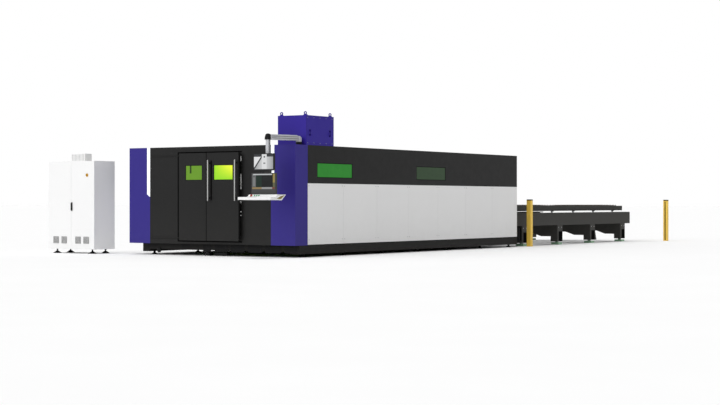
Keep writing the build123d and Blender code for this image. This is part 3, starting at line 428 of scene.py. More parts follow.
# %% The camera picture
picture_across = (across - monitor_low.x - bezel) / (monitor_high.x - monitor_low.x - 2 * bezel)
picture_up = (up - monitor_low.z - bezel) / (monitor_high.z - monitor_low.z - 2 * bezel)
picture_middle, fall_off = 0.52, 5.0
from_middle = picture_middle - picture_across
bright = (from_middle * from_middle) * fall_off + cloud * 0.25
picture = place.mix(bright, tint(208, 209, 210), tint(166, 168, 169))
beam_lean, beam_left, beam_right, ceiling = 0.52, -0.07, 0.01, 0.84
beam_grey = tint(58, 60, 62)
leaning = picture_across - picture_up * beam_lean
picture = place.mix(leaning < beam_left, picture, tint(228, 229, 230))
picture = place.mix(leaning.inside(beam_left, beam_right), picture, beam_grey)
picture = place.mix(picture_up > ceiling, picture, beam_grey)
picture_fields = (
    (0.41, 0.67, -1.00, 2.00, tint(222, 223, 224)),
    (0.51, 0.58, 0.78, 0.88, tint(70, 70, 72)),
    (0.49, 0.60, 0.38, 0.46, tint(120, 122, 124)),
    (0.00, 1.00, -1.00, 0.04, tint(66, 68, 70)),
)
for start_at, end_at, low_at, high_at, colour in picture_fields:
    mask = picture_across.inside(start_at, end_at) * picture_up.inside(low_at, high_at)
    picture = place.mix(mask, picture, colour)
shown = place.mix(up > monitor_low.z, page, picture)
place.feed(surface.inputs["Base Color"], place.mix(cloud, tint(10, 10, 12), tint(16, 16, 18)))
place.feed(surface.inputs["Emission Color"], shown)
place.feed(surface.inputs["Roughness"], cloud * 0.05 + 0.15)
surface.inputs["Emission Strength"].default_value = 0.95
print("the picture has", len(picture_fields), "fields over a leaning beam")

# %% [markdown]
# ## A finish for every solid
# Each solid keeps its shape and gets its finish in its first material slot. That could be one line
# for each solid, but a paint plan reads better: one finish and the solids that have it.

# %% Dress the solids
paint_plan = {
    "violet_coat": ["left_column", "right_column"],
    "tower_coat": ["tower_housing", "tower_cover", "lifting_eyes"],
    "graphite_coat": [
        "front_panel", "door_rails", "door_leaf_leading", "door_leaf_trailing", "side_bands",
        "roof_panels", "rear_wall", "rear_shutter",
    ],
    "white_coat": ["side_panels"],
    "cabinet_coat": ["cabinet_door_left", "cabinet_door_right"],
    # The shell's coat is painted lighter than the doors', to make up for the shade on its side.
    "shell_coat_painted_lighter": ["cabinet_shell"],
    "frame_coat": ["base_frame", "machine_bed"],
    "table_coat": ["lift_frame", "table_stands", "upper_pallet", "lower_pallet"],
    "gantry_coat": ["gantry_beam", "carriage", "cutting_head"],
    "post_coat": ["guard_posts"],
    "pad_coat": ["table_pads"],
    "arm_coat": ["arm_tube", "drop_tube"],
    "tray_coat": ["keyboard_console"],
    "ground_steel": ["gantry_rails", "upper_wheels", "lower_wheels"],
    "slat_steel": ["upper_slats", "lower_slats"],
    "handle_metal": ["door_handles"],
    "zinc_plate": ["mounting_plate"],
    "black_plastic": ["arm_elbow", "upper_monitor", "cabinet_lever", "post_caps"],
    "panel_plastic": ["control_panel"],
    "cast_black": ["levelling_feet", "cabinet_feet", "arm_pivot", "lift_drive"],
    "rubber": ["door_bumper"],
    # The door seal is black as painted shade in the gap round the door.
    "black_and_painted_shade": ["door_seal"],
    "stop_red": ["emergency_stop"],
    "switch_yellow": ["main_switch"],
    "key_green": ["start_button", "feed_button", "reset_button"],
    "fan_grey": ["fan_hood"],
    "bright_pane": ["door_window_leading"],
    "olive_pane": ["door_window_trailing"],
    "side_pane": ["side_windows"],
    "lamp_opal": ["light_strips"],
    "screen_page": ["screens"],
}
dressed = []
for finish, names in paint_plan.items():
    for name in names:
        mesh = nodes[name].data
        mesh.materials.clear()
        mesh.materials.append(materials[finish])
        dressed.append(name)
print("dressed", len(dressed), "of", len(nodes), "still bare:", sorted(set(nodes) - set(dressed)))

# %% [markdown]
# ## Tools for small pieces
# The small pieces are made of blocks, rods and rings. Each could be an object of its own, but then
# a row of screws would be a hundred objects. So each helper adds one such shape to a bmesh, in
# place, from one of the bmesh operators, and keep() turns the finished bmesh into one object that
# rides on a body of the model.


# %% Blocks, rods and rings
def add_block(shape, low, high, edge=0.0, segments=2):
    """A block between two corners, with its edges rounded off."""
    low, high = Vector(low), Vector(high)
    place = Matrix.Translation((low + high) / 2) @ Matrix.Diagonal((*(high - low), 1))
    corners = bmesh.ops.create_cube(shape, size=1, matrix=place)["verts"]
    if edge:
        edges = list(dict.fromkeys(e for corner in corners for e in corner.link_edges))
        bmesh.ops.bevel(
            shape,
            geom=edges,
            offset=edge,
            segments=segments,
            profile=0.5,
            affect="EDGES",
            material=-1,
        )


def add_rod(shape, centre, axis, radius, length, segments=24, end_radius=None):
    """A round bar or a cone about an axis through its centre."""
    turn = Vector((0, 0, 1)).rotation_difference(Vector(axis)).to_matrix().to_4x4()
    bmesh.ops.create_cone(
        shape,
        cap_ends=True,
        segments=segments,
        radius1=radius,
        radius2=radius if end_radius is None else end_radius,
        depth=length,
        matrix=Matrix.Translation(centre) @ turn,
    )


def add_ring(shape, centre, axis, inner, outer, depth, segments=32):
    """A flat ring: a rectangle's outline spun about the axis."""
    axis = Vector(axis).normalized()
    turn = Vector((0, 0, 1)).rotation_difference(axis).to_matrix().to_4x4()
    tilt = Matrix.Rotation(math.radians(90), 4, "X")
    size = Matrix.Diagonal((outer - inner, depth, 1, 1))
    offset = Matrix.Translation(((inner + outer) / 2, 0, 0))
    place = Matrix.Translation(centre) @ turn @ offset @ tilt @ size
    made = bmesh.ops.create_grid(shape, x_segments=1, y_segments=1, size=0.5, matrix=place)["verts"]
    faces = list(dict.fromkeys(f for v in made for f in v.link_faces))
    bmesh.ops.delete(shape, geom=faces, context="FACES_ONLY")
    edges = list(dict.fromkeys(e for v in made for e in v.link_edges))
    bmesh.ops.spin(
        shape,
        geom=made + edges,
        cent=centre,
        axis=axis,
        angle=math.tau,
        steps=segments,
        use_merge=True,
    )


def carry(shape, place):
    """Move a whole shape that was drawn about the origin by a matrix."""
    bmesh.ops.transform(shape, matrix=place, space=Matrix.Identity(4), verts=shape.verts)


def add_bolt(shape, centre, axis, radius, height):
    """A washer with a six-sided head on it. The washer is three tenths of the height."""
    axis = Vector(axis).normalized()
    washer, washer_size = height * 0.3, 1.5
    add_rod(shape, Vector(centre) + axis * washer / 2, axis, radius * washer_size, washer, 12)
    add_rod(shape, Vector(centre) + axis * height * 0.65, axis, radius, height * 0.7, 6)


def keep(shape, name, finish, body):
    """Make an object of the bmesh, give it its finish and let it ride on its body."""
    bmesh.ops.recalc_face_normals(shape, faces=shape.faces)
    mesh = bpy.data.meshes.new(name)
    shape.to_mesh(mesh)
    shape.free()
    mesh.materials.append(materials[finish])
    piece = bpy.data.objects.new(name, mesh)
    bpy.context.scene.collection.objects.link(piece)
    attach(piece, body)
    print(name, len(mesh.polygons), "faces")
    return piece


print("block, rod, ring, bolt and keep are ready")

# %% [markdown]
# ## Door handles
# Each handle is a bright bar on two dark feet. The solids are square bars, which keeps them light
# for the motion checks. A bevelled block has the bar's rounded edges with a few dozen faces, and it
# stands for the solid.

# %% Door handles
low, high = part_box("door_handles")
handle_size = 0.032
bar_front = low.y
bar_back = low.y + handle_size
foot_inset, foot_side_gap = 0.062, 0.002
bar_edge, foot_edge = 0.009, 0.004
handle_places = (low.x + handle_size / 2, high.x - handle_size / 2)
bars = bmesh.new()
feet = bmesh.new()
for place_x in handle_places:
    left, right = place_x - handle_size / 2, place_x + handle_size / 2
    add_block(bars, (left, bar_front, low.z), (right, bar_back, high.z), bar_edge, 3)
    for height in (low.z + foot_inset, high.z - foot_inset):
        add_block(
            feet,
            (left + foot_side_gap, bar_back, height - handle_size / 2),
            (right - foot_side_gap, high.y, height + handle_size / 2),
            foot_edge,
        )
handle_bars = keep(bars, "handle_bars", "handle_metal", "leading_door")
keep(feet, "handle_feet", "cast_black", "leading_door")
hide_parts("door_handles")

# %% [markdown]
# ## Window gaskets
# A black rubber gasket holds each pane. It could be an outline swept round the opening, but its
# corners are square, so four bars are enough. They lie inside the opening, in front of the pane, so
# a gasket also follows a sliding leaf through narrow gaps.


# %% Gaskets
def add_frame(shape, low, high, width, depth, axis):
    """Four bars inside a pane's edge. Their back is at the pane's low side on the axis."""
    side = "XY".index(axis)
    run = 1 - side
    front = low[side]
    for first in (low[run], high[run] - width):
        begin, end = [0.0, 0.0, low.z], [0.0, 0.0, high.z]
        begin[run], end[run] = first, first + width
        begin[side], end[side] = front - depth, front
        add_block(shape, begin, end, depth / 4)
    for first in (low.z, high.z - width):
        begin, end = [0.0, 0.0, first], [0.0, 0.0, first + width]
        begin[run], end[run] = low[run] + width, high[run] - width
        begin[side], end[side] = front - depth, front
        add_block(shape, begin, end, depth / 4)


door_gasket_width, door_gasket_depth = 0.01, 0.0045
for pane, body, name in (
    ("door_window_leading", "leading_door", "gasket_leading"),
    ("door_window_trailing", "trailing_door", "gasket_trailing"),
):
    low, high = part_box(pane)
    gasket = bmesh.new()
    add_frame(gasket, low, high, door_gasket_width, door_gasket_depth, "Y")
    keep(gasket, name, "rubber", body)

low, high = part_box("side_windows")
gasket_width, gasket_depth = 0.014, 0.005
gaskets = bmesh.new()
for start_y in (low.y, high.y - window_length):
    for back_x in (low.x, high.x + gasket_depth):
        pane_low = Vector((back_x, start_y, low.z))
        pane_high = Vector((back_x, start_y + window_length, high.z))
        add_frame(gaskets, pane_low, pane_high, gasket_width, gasket_depth, "X")
keep(gaskets, "side_gaskets", "rubber", "machine")

# %% [markdown]
# ## Door lines
# Thin black lines frame the double door: a strip of painted shade on the front panel round it,
# where the gap round the door lies in shadow, the edge strip of the leading leaf, and a strip of
# painted shadow along its first handle. They could be drawn in the paint's material, but as flat
# strips a millimetre or two thick they also catch the light.

# %% Door lines
strip = 0.026
beside_leaf = 0.066
low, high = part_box("door_seal")
# The outline is black as painted shade in the gap round the door.
outline_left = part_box("door_leaf_trailing")[0].x - beside_leaf - strip
outline_shade = bmesh.new()
add_block(outline_shade, (outline_left, low.y, low.z), (outline_left + strip, high.y, high.z))
for low_z in (low.z, high.z - strip):
    add_block(outline_shade, (outline_left + strip, low.y, low_z), (low.x, high.y, low_z + strip))
keep(outline_shade, "door_shadow_outline", "black_and_painted_shade", "machine")

low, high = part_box("door_leaf_leading")
handle_low, handle_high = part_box("door_handles")
seam_width, seam_height = 0.012, 0.0015
# A black strip of painted shadow lies along the first handle, next to the leaf's edge seam.
handle_shadow_width, handle_shadow_height = 0.028, 0.001
handle_shadow_right = handle_places[0] + 0.06
handle_shadow_low_z, handle_shadow_high_z = handle_low.z + 0.02, handle_high.z - 0.012
lines = bmesh.new()
add_block(lines, (low.x, low.y - seam_height, low.z), (low.x + seam_width, low.y, high.z))
add_block(
    lines,
    (handle_shadow_right - handle_shadow_width, low.y - handle_shadow_height, handle_shadow_low_z),
    (handle_shadow_right, low.y, handle_shadow_high_z),
)
keep(lines, "leaf_seam_and_handle_shadow", "black_and_painted_shade", "leading_door")

# %% [markdown]
# ## Jamb plates
# Where the closed door meets the frame, a column of bright strike plates and switch targets is
# screwed to the front panel. They catch the light in the dark gap beside the door. Plain blocks
# with a small bevel are enough, because each is only a few centimetres wide or less.

# %% Jamb plates
panel_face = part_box("front_panel")[0].y
jamb_gap, jamb_width, jamb_depth, jamb_edge = 0.003, 0.013, 0.03, 0.002
jamb_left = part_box("door_leaf_leading")[1].x + jamb_gap
jamb_spans = ((1.946, 2.047), (1.376, 1.681), (1.092, 1.132), (0.905, 0.929), (0.828, 0.852))
plates = bmesh.new()
for low_z, high_z in jamb_spans:
    plate_low = (jamb_left, panel_face - jamb_depth, low_z)
    add_block(plates, plate_low, (jamb_left + jamb_width, panel_face, high_z), jamb_edge)
keep(plates, "jamb_plates", "key_white", "machine")

# %% [markdown]
# ## Slats with teeth
# A sheet rests on the points of upright slats, so each slat's top edge is cut into teeth. Cutting
# notches out of blocks would leave many odd faces. Here one slat is a grid one row high whose every
# other top point is lowered. It gets its thickness, and then copies are laid along the pallet.


# %% Slats
def toothed_slats(node, name, body):
    """Slats in the box of their solids, one every tenth of a metre."""
    low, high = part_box(node)
    pitch, thickness, tooth, tooth_run = 0.1, 0.006, 0.03, 0.05
    count = round((high.y - low.y - thickness) / pitch) + 1
    width, height = high.x - low.x, high.z - low.z
    points = 2 * round(width / tooth_run)
    shape = bmesh.new()
    middle = Vector(((low.x + high.x) / 2, low.y + thickness, (low.z + high.z) / 2))
    upright = Matrix.Rotation(math.radians(90), 4, "X") @ Matrix.Diagonal((width, height, 1, 1))
    place = Matrix.Translation(middle) @ upright
    made = bmesh.ops.create_grid(shape, x_segments=points, y_segments=1, size=0.5, matrix=place)
    top = sorted((v for v in made["verts"] if v.co.z > middle.z), key=lambda v: v.co.x)
    bmesh.ops.translate(shape, verts=top[::2], vec=(0, 0, -tooth))
    face = bmesh.ops.extrude_face_region(shape, geom=shape.faces[:])
    moved = [g for g in face["geom"] if isinstance(g, bmesh.types.BMVert)]
    bmesh.ops.translate(shape, verts=moved, vec=(0, -thickness, 0))
    first = shape.verts[:] + shape.edges[:] + shape.faces[:]
    for number in range(1, count):
        copy = bmesh.ops.duplicate(shape, geom=first)["geom"]
        points_made = [g for g in copy if isinstance(g, bmesh.types.BMVert)]
        bmesh.ops.translate(shape, verts=points_made, vec=(0, pitch * number, 0))
    piece = keep(shape, name, "slat_steel", body)
    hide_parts(node)


toothed_slats("upper_slats", "upper_toothed_slats", "top_pallet")
toothed_slats("lower_slats", "lower_toothed_slats", "bottom_pallet")

# %% [markdown]
# ## Main switch and lever
# The main switch turns on a yellow plate and has a black grip bar, and the lever lies on a grey
# plate. The plates are pieces of their own, because they stay on the door when the switch or the
# lever turns. A ring spun about the switch's axis leaves room for its shaft.

# %% Switch and lever
vent_depth = 0.008
door_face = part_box("cabinet_door_right")[0].y + vent_depth
low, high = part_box("main_switch")
switch_x, switch_z = (low.x + high.x) / 2, (low.z + high.z) / 2
collar = bmesh.new()
plate_height, collar_inner, collar_outer = 0.002, 0.02, 0.036
collar_middle = (switch_x, door_face - plate_height, switch_z)
add_ring(collar, collar_middle, (0, 1, 0), collar_inner, collar_outer, 2 * plate_height, 40)
keep(collar, "switch_plate", "switch_yellow", "right_cabinet_door")

grip = bmesh.new()
grip_reach, grip_half, grip_proud, grip_depth, grip_edge = 0.018, 0.006, 0.001, 0.012, 0.003
add_block(
    grip,
    (switch_x - grip_half, low.y - grip_proud, switch_z - grip_reach),
    (switch_x + grip_half, low.y + grip_depth, switch_z + grip_reach),
    grip_edge,
)
keep(grip, "switch_grip", "black_plastic", "switch_knob")

low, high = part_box("cabinet_lever")
lever_x = (low.x + high.x) / 2
plate_half, plate_past, plate_edge = 0.0175, 0.015, 0.0008
plate = bmesh.new()
add_block(
    plate,
    (lever_x - plate_half, door_face - plate_height, low.z - plate_past),
    (lever_x + plate_half, door_face, high.z + plate_past),
    plate_edge,
)
keep(plate, "lever_plate", "vent_grey", "right_cabinet_door")

# %% [markdown]
# ## Vent grilles
# Two louvred grilles sit low in each cabinet door. A real one is pressed from sheet. Seen from a
# few metres it is a frame with ten bars, so it is made as bars, and it rides with its door.

# %% Vent grilles
vent_size, vent_low = 0.15, 0.216
frame_width, grille_depth, grille_edge = 0.012, 0.004, 0.001
blade_height, blade_count, blade_edge = 0.009, 10, 0.0015
blade_pitch = (vent_size - blade_height) / (blade_count - 1)
vent_front = door_face - vent_depth
cabinet_right_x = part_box("cabinet_shell")[1].x
for name, body, places in (
    ("right_grilles", "right_cabinet_door", (0.227, 0.463)),
    ("left_grilles", "left_cabinet_door", (0.871, 1.111)),
):
    grille = bmesh.new()
    for from_right in places:
        left = cabinet_right_x - from_right - vent_size / 2
        right = left + vent_size
        for start_x in (left, right - frame_width):
            bar_low = (start_x, vent_front - grille_depth, vent_low)
            bar_high = (start_x + frame_width, vent_front, vent_low + vent_size)
            add_block(grille, bar_low, bar_high, grille_edge)
        for blade in range(blade_count):
            blade_low = vent_low + blade * blade_pitch
            add_block(
                grille,
                (left + frame_width, vent_front - grille_depth, blade_low),
                (right - frame_width, vent_front, blade_low + blade_height),
                blade_edge,
            )
    keep(grille, name, "vent_grey", body)

# %% [markdown]
# ## Fan hood
# The hood's front has nine upright slots with a grey filter behind them. A strip inside each slot,
# a few millimetres back, gives it a floor without one more sheet across the whole hood.

# %% Fan hood filters
low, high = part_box("fan_hood")
slot_count, slot_half, slot_inset, filter_front, filter_back = 9, 0.007, 0.014, 0.004, 0.01
inserts = bmesh.new()
for number in range(slot_count):
    slot_x = low.x + (high.x - low.x) * (number + 1) / (slot_count + 1)
    insert_low = (slot_x - slot_half, low.y + filter_front, low.z + slot_inset)
    add_block(inserts, insert_low, (slot_x + slot_half, low.y + filter_back, high.z - slot_inset))
keep(inserts, "fan_inserts", "slot_grey", "machine")

# %% [markdown]
# ## Cabinet hinges
# Each cabinet door hangs on three barrel hinges at the shell's outer edge. A barrel is a thin rod,
# and the two leaves of a hinge are hidden in the door's gap, so the rod is all that shows.

# %% Cabinet hinges
low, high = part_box("cabinet_shell")
hinge_radius, hinge_length, hinge_heights = 0.006, 0.07, (0.35, 1.04, 1.74)
hinges = bmesh.new()
for edge_x in (low.x + hinge_radius, high.x - hinge_radius):
    for height in hinge_heights:
        barrel = (edge_x, low.y - hinge_radius, height)
        add_rod(hinges, barrel, (0, 0, 1), hinge_radius, hinge_length, 12)
keep(hinges, "cabinet_hinges", "bolt_steel", "machine")

# %% [markdown]
# ## Console fittings
# The stop button is a domed head over a yellow collar, and it stands for its flat-sided solid. The
# other buttons have square bezels, and the tray has a keyboard of separate keycaps with a touch
# pad. All that is on the slope is drawn flat about the origin first and then carried to its place
# by one matrix, which is easier than slanted coordinates.

# %% Buttons on the slope
console_low, console_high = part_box("keyboard_console")
front_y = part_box("front_panel")[0].y
# Two points of the slope, one at its front edge and one at its back edge.
slope_front = Vector((0, front_y - 0.650, 1.212))
slope_back = Vector((0, front_y - 0.600, 1.259))
slope = Vector((1, 0, 0)).cross(slope_back - slope_front).normalized()
slope_middle = (slope_front + slope_back) / 2
slope_turn = Vector((0, 0, 1)).rotation_difference(slope).to_matrix().to_4x4()
stop_x = (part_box("emergency_stop")[0].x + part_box("emergency_stop")[1].x) / 2
slope_place = Matrix.Translation((stop_x, slope_middle.y, slope_middle.z)) @ slope_turn
upright = (0, 0, 1)

collar_inner, collar_outer, collar_height = 0.0135, 0.027, 0.0015
collar = bmesh.new()
add_ring(collar, (0, 0, collar_height / 2), upright, collar_inner, collar_outer, collar_height)
carry(collar, slope_place)
keep(collar, "stop_collar", "switch_yellow", "console")

# Stem, head and dome: the middle's height, the radius, the depth, the sides and the end's radius.
head_layers = (
    (-0.0005, 0.0115, 0.017, 32, 0.0115),
    (0.0135, 0.0205, 0.009, 48, 0.0205),
    (0.020, 0.0205, 0.004, 48, 0.014),
)
head = bmesh.new()
for height, radius, depth, sides, end_radius in head_layers:
    add_rod(head, (0, 0, height), upright, radius, depth, sides, end_radius)
carry(head, slope_place)
stop_head = keep(head, "stop_mushroom", "stop_red", "stop_head")
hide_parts("emergency_stop")

bezel_outer, bezel_inner, bezel_height = 0.018, 0.0136, 0.003
bezels = bmesh.new()
for node in ("start_button", "feed_button", "reset_button"):
    offset = (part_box(node)[0].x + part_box(node)[1].x) / 2 - stop_x
    for side in (-1, 1):
        near, far = sorted((side * bezel_inner, side * bezel_outer))
        upright_high = (offset + far, bezel_outer, bezel_height)
        add_block(bezels, (offset + near, -bezel_outer, 0), upright_high)
        level_high = (offset + bezel_inner, far, bezel_height)
        add_block(bezels, (offset - bezel_inner, near, 0), level_high)
carry(bezels, slope_place)
keep(bezels, "button_bezels", "key_white", "console")

# %% Keys and touch pad
key_pitch, key_size, key_rows, key_columns = 0.019, 0.016, 5, 15
key_rise, key_edge = 0.004, 0.0015
deck_height, keys_aside, keys_inset = 0.064, 0.30, 0.06
deck_z = console_low.z + deck_height
keys_left = (console_low.x + console_high.x) / 2 - keys_aside
keys_front = console_low.y + keys_inset
keys = bmesh.new()
for row in range(key_rows):
    for column in range(key_columns):
        key_x, key_y = keys_left + column * key_pitch, keys_front + row * key_pitch
        key_high = (key_x + key_size, key_y + key_size, deck_z + key_rise)
        add_block(keys, (key_x, key_y, deck_z - key_rise), key_high, key_edge, 1)
keep(keys, "keyboard_keys", "key_dark", "console")

pad_column, pad_width, pad_depth, pad_rise = 16.5, 0.11, 0.08, 0.002
pad = bmesh.new()
pad_left = keys_left + pad_column * key_pitch
pad_high = (pad_left + pad_width, keys_front + pad_depth, deck_z + pad_rise)
add_block(pad, (pad_left, keys_front, deck_z - key_rise), pad_high, pad_rise)
keep(pad, "touch_pad", "key_white", "console")

# %% End plate of the tray
# Its corners: how far each is from the front panel's face, and its height.
end_outline = ((-0.697, 1.172), (-0.550, 1.172), (-0.430, 1.248), (-0.575, 1.223))
end_plate = 0.0015
badge = bmesh.new()
corners = [
    badge.verts.new((console_high.x, front_y + along, height)) for along, height in end_outline
]
face = badge.faces.new(corners)
raised = bmesh.ops.extrude_face_region(badge, geom=[face])
moved = [g for g in raised["geom"] if isinstance(g, bmesh.types.BMVert)]
bmesh.ops.translate(badge, verts=moved, vec=(end_plate, 0, 0))
keep(badge, "tray_end_plate", "badge_olive", "console")

# %% [markdown]
# ## Arm and drop tube
# The arm is an extruded profile with grooves along it and a domed black cap at its elbow. A sleeve
# with rounded edges gives the profile its full height. Each groove is a thin dark strip that stands
# one millimetre out of the face: painted shade where the groove lies in shadow. They are drawn about
# an origin at the pivot and then turned to the arm's own direction. The drop tube has the same
# grooves on its two sides, in painted shade too.

# %% Sleeve and elbow
arm_size = 0.095
pivot = (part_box("arm_pivot")[0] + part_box("arm_pivot")[1]) / 2
drop_low, drop_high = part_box("drop_tube")
drop = (drop_low + drop_high) / 2
reach = Vector((drop.x - pivot.x, drop.y - pivot.y, 0))
arm_turn = Matrix.Rotation(math.atan2(reach.y, reach.x), 4, "Z")
arm_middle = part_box("arm_tube")[1].z - arm_size / 2
arm_place = Matrix.Translation((pivot.x, pivot.y, arm_middle)) @ arm_turn
sleeve_half, sleeve_low, sleeve_high, sleeve_edge = 0.051, -0.049, 0.060, 0.009
sleeve_start, sleeve_end = 0.075, reach.length - 0.03
sleeve_begin = (sleeve_start, -sleeve_half, sleeve_low)
sleeve = bmesh.new()
add_block(sleeve, sleeve_begin, (sleeve_end, sleeve_half, sleeve_high), sleeve_edge)
carry(sleeve, arm_place)
keep(sleeve, "arm_sleeve", "arm_coat", "console_arm")

# Each layer of the cap: its height, its radius below and its radius above.
cap_layers = (
    (0.078, 0.057, 0.057),
    (0.022, 0.057, 0.050),
    (0.014, 0.050, 0.036),
    (0.006, 0.036, 0.016),
)
elbow = bmesh.new()
cap_gap = 0.001
elbow_low = drop_high.z + cap_gap
for height, low_radius, high_radius in cap_layers:
    layer = (drop.x, drop.y, elbow_low + height / 2)
    add_rod(elbow, layer, upright, low_radius, height, 40, high_radius)
    elbow_low += height
keep(elbow, "elbow_cap", "cast_black", "console_arm")

# %% Grooves and knuckle flange
# The dark groove strips are painted shade.
groove_proud, groove_half = 0.001, 0.006
groove_start, groove_end = 0.04, reach.length - 0.055
groove_heights = (-0.012, 0.024)
knuckle_x, knuckle_bolt, knuckle_bolt_height = -0.005, 0.006, 0.004
groove_shade = bmesh.new()
bolts = bmesh.new()
for facing in (-1, 1):
    face_y = facing * sleeve_half
    for height in groove_heights:
        strip_low = (groove_start, face_y - groove_proud, height - groove_half)
        strip_high = (groove_end, face_y + groove_proud, height + groove_half)
        add_block(groove_shade, strip_low, strip_high)
        knuckle = (knuckle_x, facing * arm_size / 2, height)
        add_bolt(bolts, knuckle, (0, facing, 0), knuckle_bolt, knuckle_bolt_height)
carry(groove_shade, arm_place)
carry(bolts, arm_place)
flange_inner, flange_outer, flange_depth, flange_rise = 0.0555, 0.062, 0.01, 0.006
flange = (pivot.x, pivot.y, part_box("arm_pivot")[1].z + flange_rise)
add_ring(bolts, flange, upright, flange_inner, flange_outer, flange_depth, 40)
keep(groove_shade, "arm_groove_shade", "groove_shade_grey", "console_arm")
keep(bolts, "knuckle_flange", "bolt_steel", "console_arm")

# %% Grooves of the drop tube
# The drop tube's grooves are dark strips of painted shade.
drop_half, groove_gap, drop_aside = 0.008, 0.004, 0.012
groove_shade = bmesh.new()
for face_x in (drop_low.x, drop_high.x):
    for offset in (-drop_aside, drop_aside):
        middle_y = drop.y + offset
        strip_low = (face_x - groove_proud, middle_y - drop_half, drop_low.z + groove_gap)
        strip_high = (face_x + groove_proud, middle_y + drop_half, drop_high.z - groove_gap)
        add_block(groove_shade, strip_low, strip_high)
keep(groove_shade, "drop_groove_shade", "groove_shade_grey", "console")

# %% [markdown]
# ## Wheels and feet
# The solids of the pallets' wheels and of the levelling feet have flat sides, which keeps them
# light for the motion checks. Round ones stand for them here: a wheel with a chamfered tread, a hub
# and a bolt, and a foot with a cone, a stud and a nut. Their places are worked out from the box of
# the solids, so the round ones stay where the flat-sided ones are.


# %% Wheels
def round_wheels(node, name, body):
    """Two rows of wheels in the box of their solids, each with a hub and a bolt on its face."""
    low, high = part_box(node)
    count, width, chamfer = 5, 0.03, 0.004
    hub_radius, hub_depth, bolt_size = 0.026, 0.004, 0.012
    radius = (high.z - low.z) / 2
    pitch = (high.y - low.y - 2 * radius) / (count - 1)
    wheels = bmesh.new()
    hubs = bmesh.new()
    for number in range(count):
        wheel_y = low.y + radius + pitch * number
        for outer_x, facing in ((low.x, 1), (high.x, -1)):
            axis = Vector((facing, 0, 0))
            middle = Vector((outer_x, wheel_y, low.z + radius)) + axis * width / 2
            add_rod(wheels, middle, axis, radius, width - 2 * chamfer, 48)
            for end in (-1, 1):
                rim = middle + axis * end * (width - chamfer) / 2
                add_rod(wheels, rim, axis * end, radius, chamfer, 48, radius - chamfer)
            face = middle + axis * width / 2
            add_rod(hubs, face + axis * hub_depth / 2, axis, hub_radius, hub_depth, 24)
            add_bolt(hubs, face + axis * hub_depth, axis, bolt_size, bolt_size)
    treads = keep(wheels, name, "ground_steel", body)
    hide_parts(node)
    keep(hubs, name + "_hubs", "bolt_steel", body)


round_wheels("upper_wheels", "upper_round_wheels", "top_pallet")
round_wheels("lower_wheels", "lower_round_wheels", "bottom_pallet")


# %% Levelling feet
def round_feet(node, name, rows, base, neck):
    """Two rows of feet in the box of their solids, with their base and neck radius."""
    low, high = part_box(node)
    base_height, nut_height, nut_size, cone_share = 0.006, 0.012, 1.5, 0.6
    cone_top = high.z * cone_share
    pitch = (high.y - low.y - 2 * base) / (rows - 1)
    feet = bmesh.new()
    for foot_x in (low.x + base, high.x - base):
        for row in range(rows):
            foot_y = low.y + base + pitch * row
            add_rod(feet, (foot_x, foot_y, base_height / 2), upright, base, base_height, 40)
            cone_middle = (foot_x, foot_y, base_height / 2 + cone_top / 2)
            add_rod(feet, cone_middle, upright, base, cone_top - base_height, 40, neck)
            stud_middle = (foot_x, foot_y, (cone_top + high.z) / 2)
            add_rod(feet, stud_middle, upright, neck, high.z - cone_top, 24)
            nut_middle = (foot_x, foot_y, high.z - nut_height)
            add_rod(feet, nut_middle, upright, neck * nut_size, nut_height, 6)
    made = keep(feet, name, "cast_black", "machine")
    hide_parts(node)


round_feet("levelling_feet", "round_levelling_feet", 7, 0.065, 0.02)
round_feet("cabinet_feet", "round_cabinet_feet", 2, 0.09, 0.015)

# %% [markdown]
# ## Base front
# The base frame is open at the front: between its ribs one looks into recesses in deep shade, a
# transport roller sits beside the first foot, and two dark blocks of painted shade reach down to the
# floor under it. Real hollows would look the same in the shadow there, so a recess is a dull black
# field on the frame, painted shade in place of a hollow.

# %% Recesses and ducts
low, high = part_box("base_frame")
side_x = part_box("right_column")[1].x
base_front = low.y
# Each recess: its two ends, counted from the machine's right side, and its low and high edge.
recess_spans = (
    (3.03, 2.79, 0.15, 0.24),
    (2.45, 2.24, 0.08, 0.28),
    (2.14, 1.80, 0.08, 0.24),
    (1.72, 1.38, 0.08, 0.28),
    (1.28, 0.92, 0.08, 0.26),
    (0.84, 0.44, 0.08, 0.28),
    (0.36, 0.06, 0.08, 0.26),
)
recess_proud, recess_edge = 0.002, 0.001
# Black fields of painted shade in the recesses.
shade_and_roller = bmesh.new()
for near, far, recess_low, recess_high in recess_spans:
    field_low = (side_x - near, base_front - recess_proud, recess_low)
    field_high = (side_x - far, base_front + recess_edge, recess_high)
    add_block(shade_and_roller, field_low, field_high, recess_edge)

# Two dark blocks of painted shade at the floor under the base.
floor_shade_front, floor_shade_back, floor_shade_height, floor_shade_edge = 0.02, 0.14, 0.066, 0.004
for near, far in ((2.42, 2.30), (2.16, 1.84)):
    floor_shade_low = (side_x - near, base_front + floor_shade_front, 0)
    floor_shade_high = (side_x - far, base_front + floor_shade_back, floor_shade_height)
    add_block(shade_and_roller, floor_shade_low, floor_shade_high, floor_shade_edge)

roller_aside, roller_z, roller_radius, roller_length = 3.631, 0.098, 0.052, 0.024
roller = (side_x - roller_aside, base_front - roller_length / 2, roller_z)
add_rod(shade_and_roller, roller, (0, 1, 0), roller_radius, roller_length, 32)
keep(shade_and_roller, "base_shade_and_roller", "cast_black", "machine")

# %% [markdown]
# ## Table legs and guard posts
# Each leg of the exchange table has a black plate of painted shade over its open pocket and two
# bolts at its head. The guard posts have a dark lens strip in the slot where their light curtain
# shines out, darker as painted shade in the slot too. All stand alike, so loops over the box of
# the solids place them.

# %% Legs
low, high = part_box("table_stands")
stand_count, leg_depth = 4, 0.30
stand_pitch = (high.y - low.y - leg_depth) / (stand_count - 1)
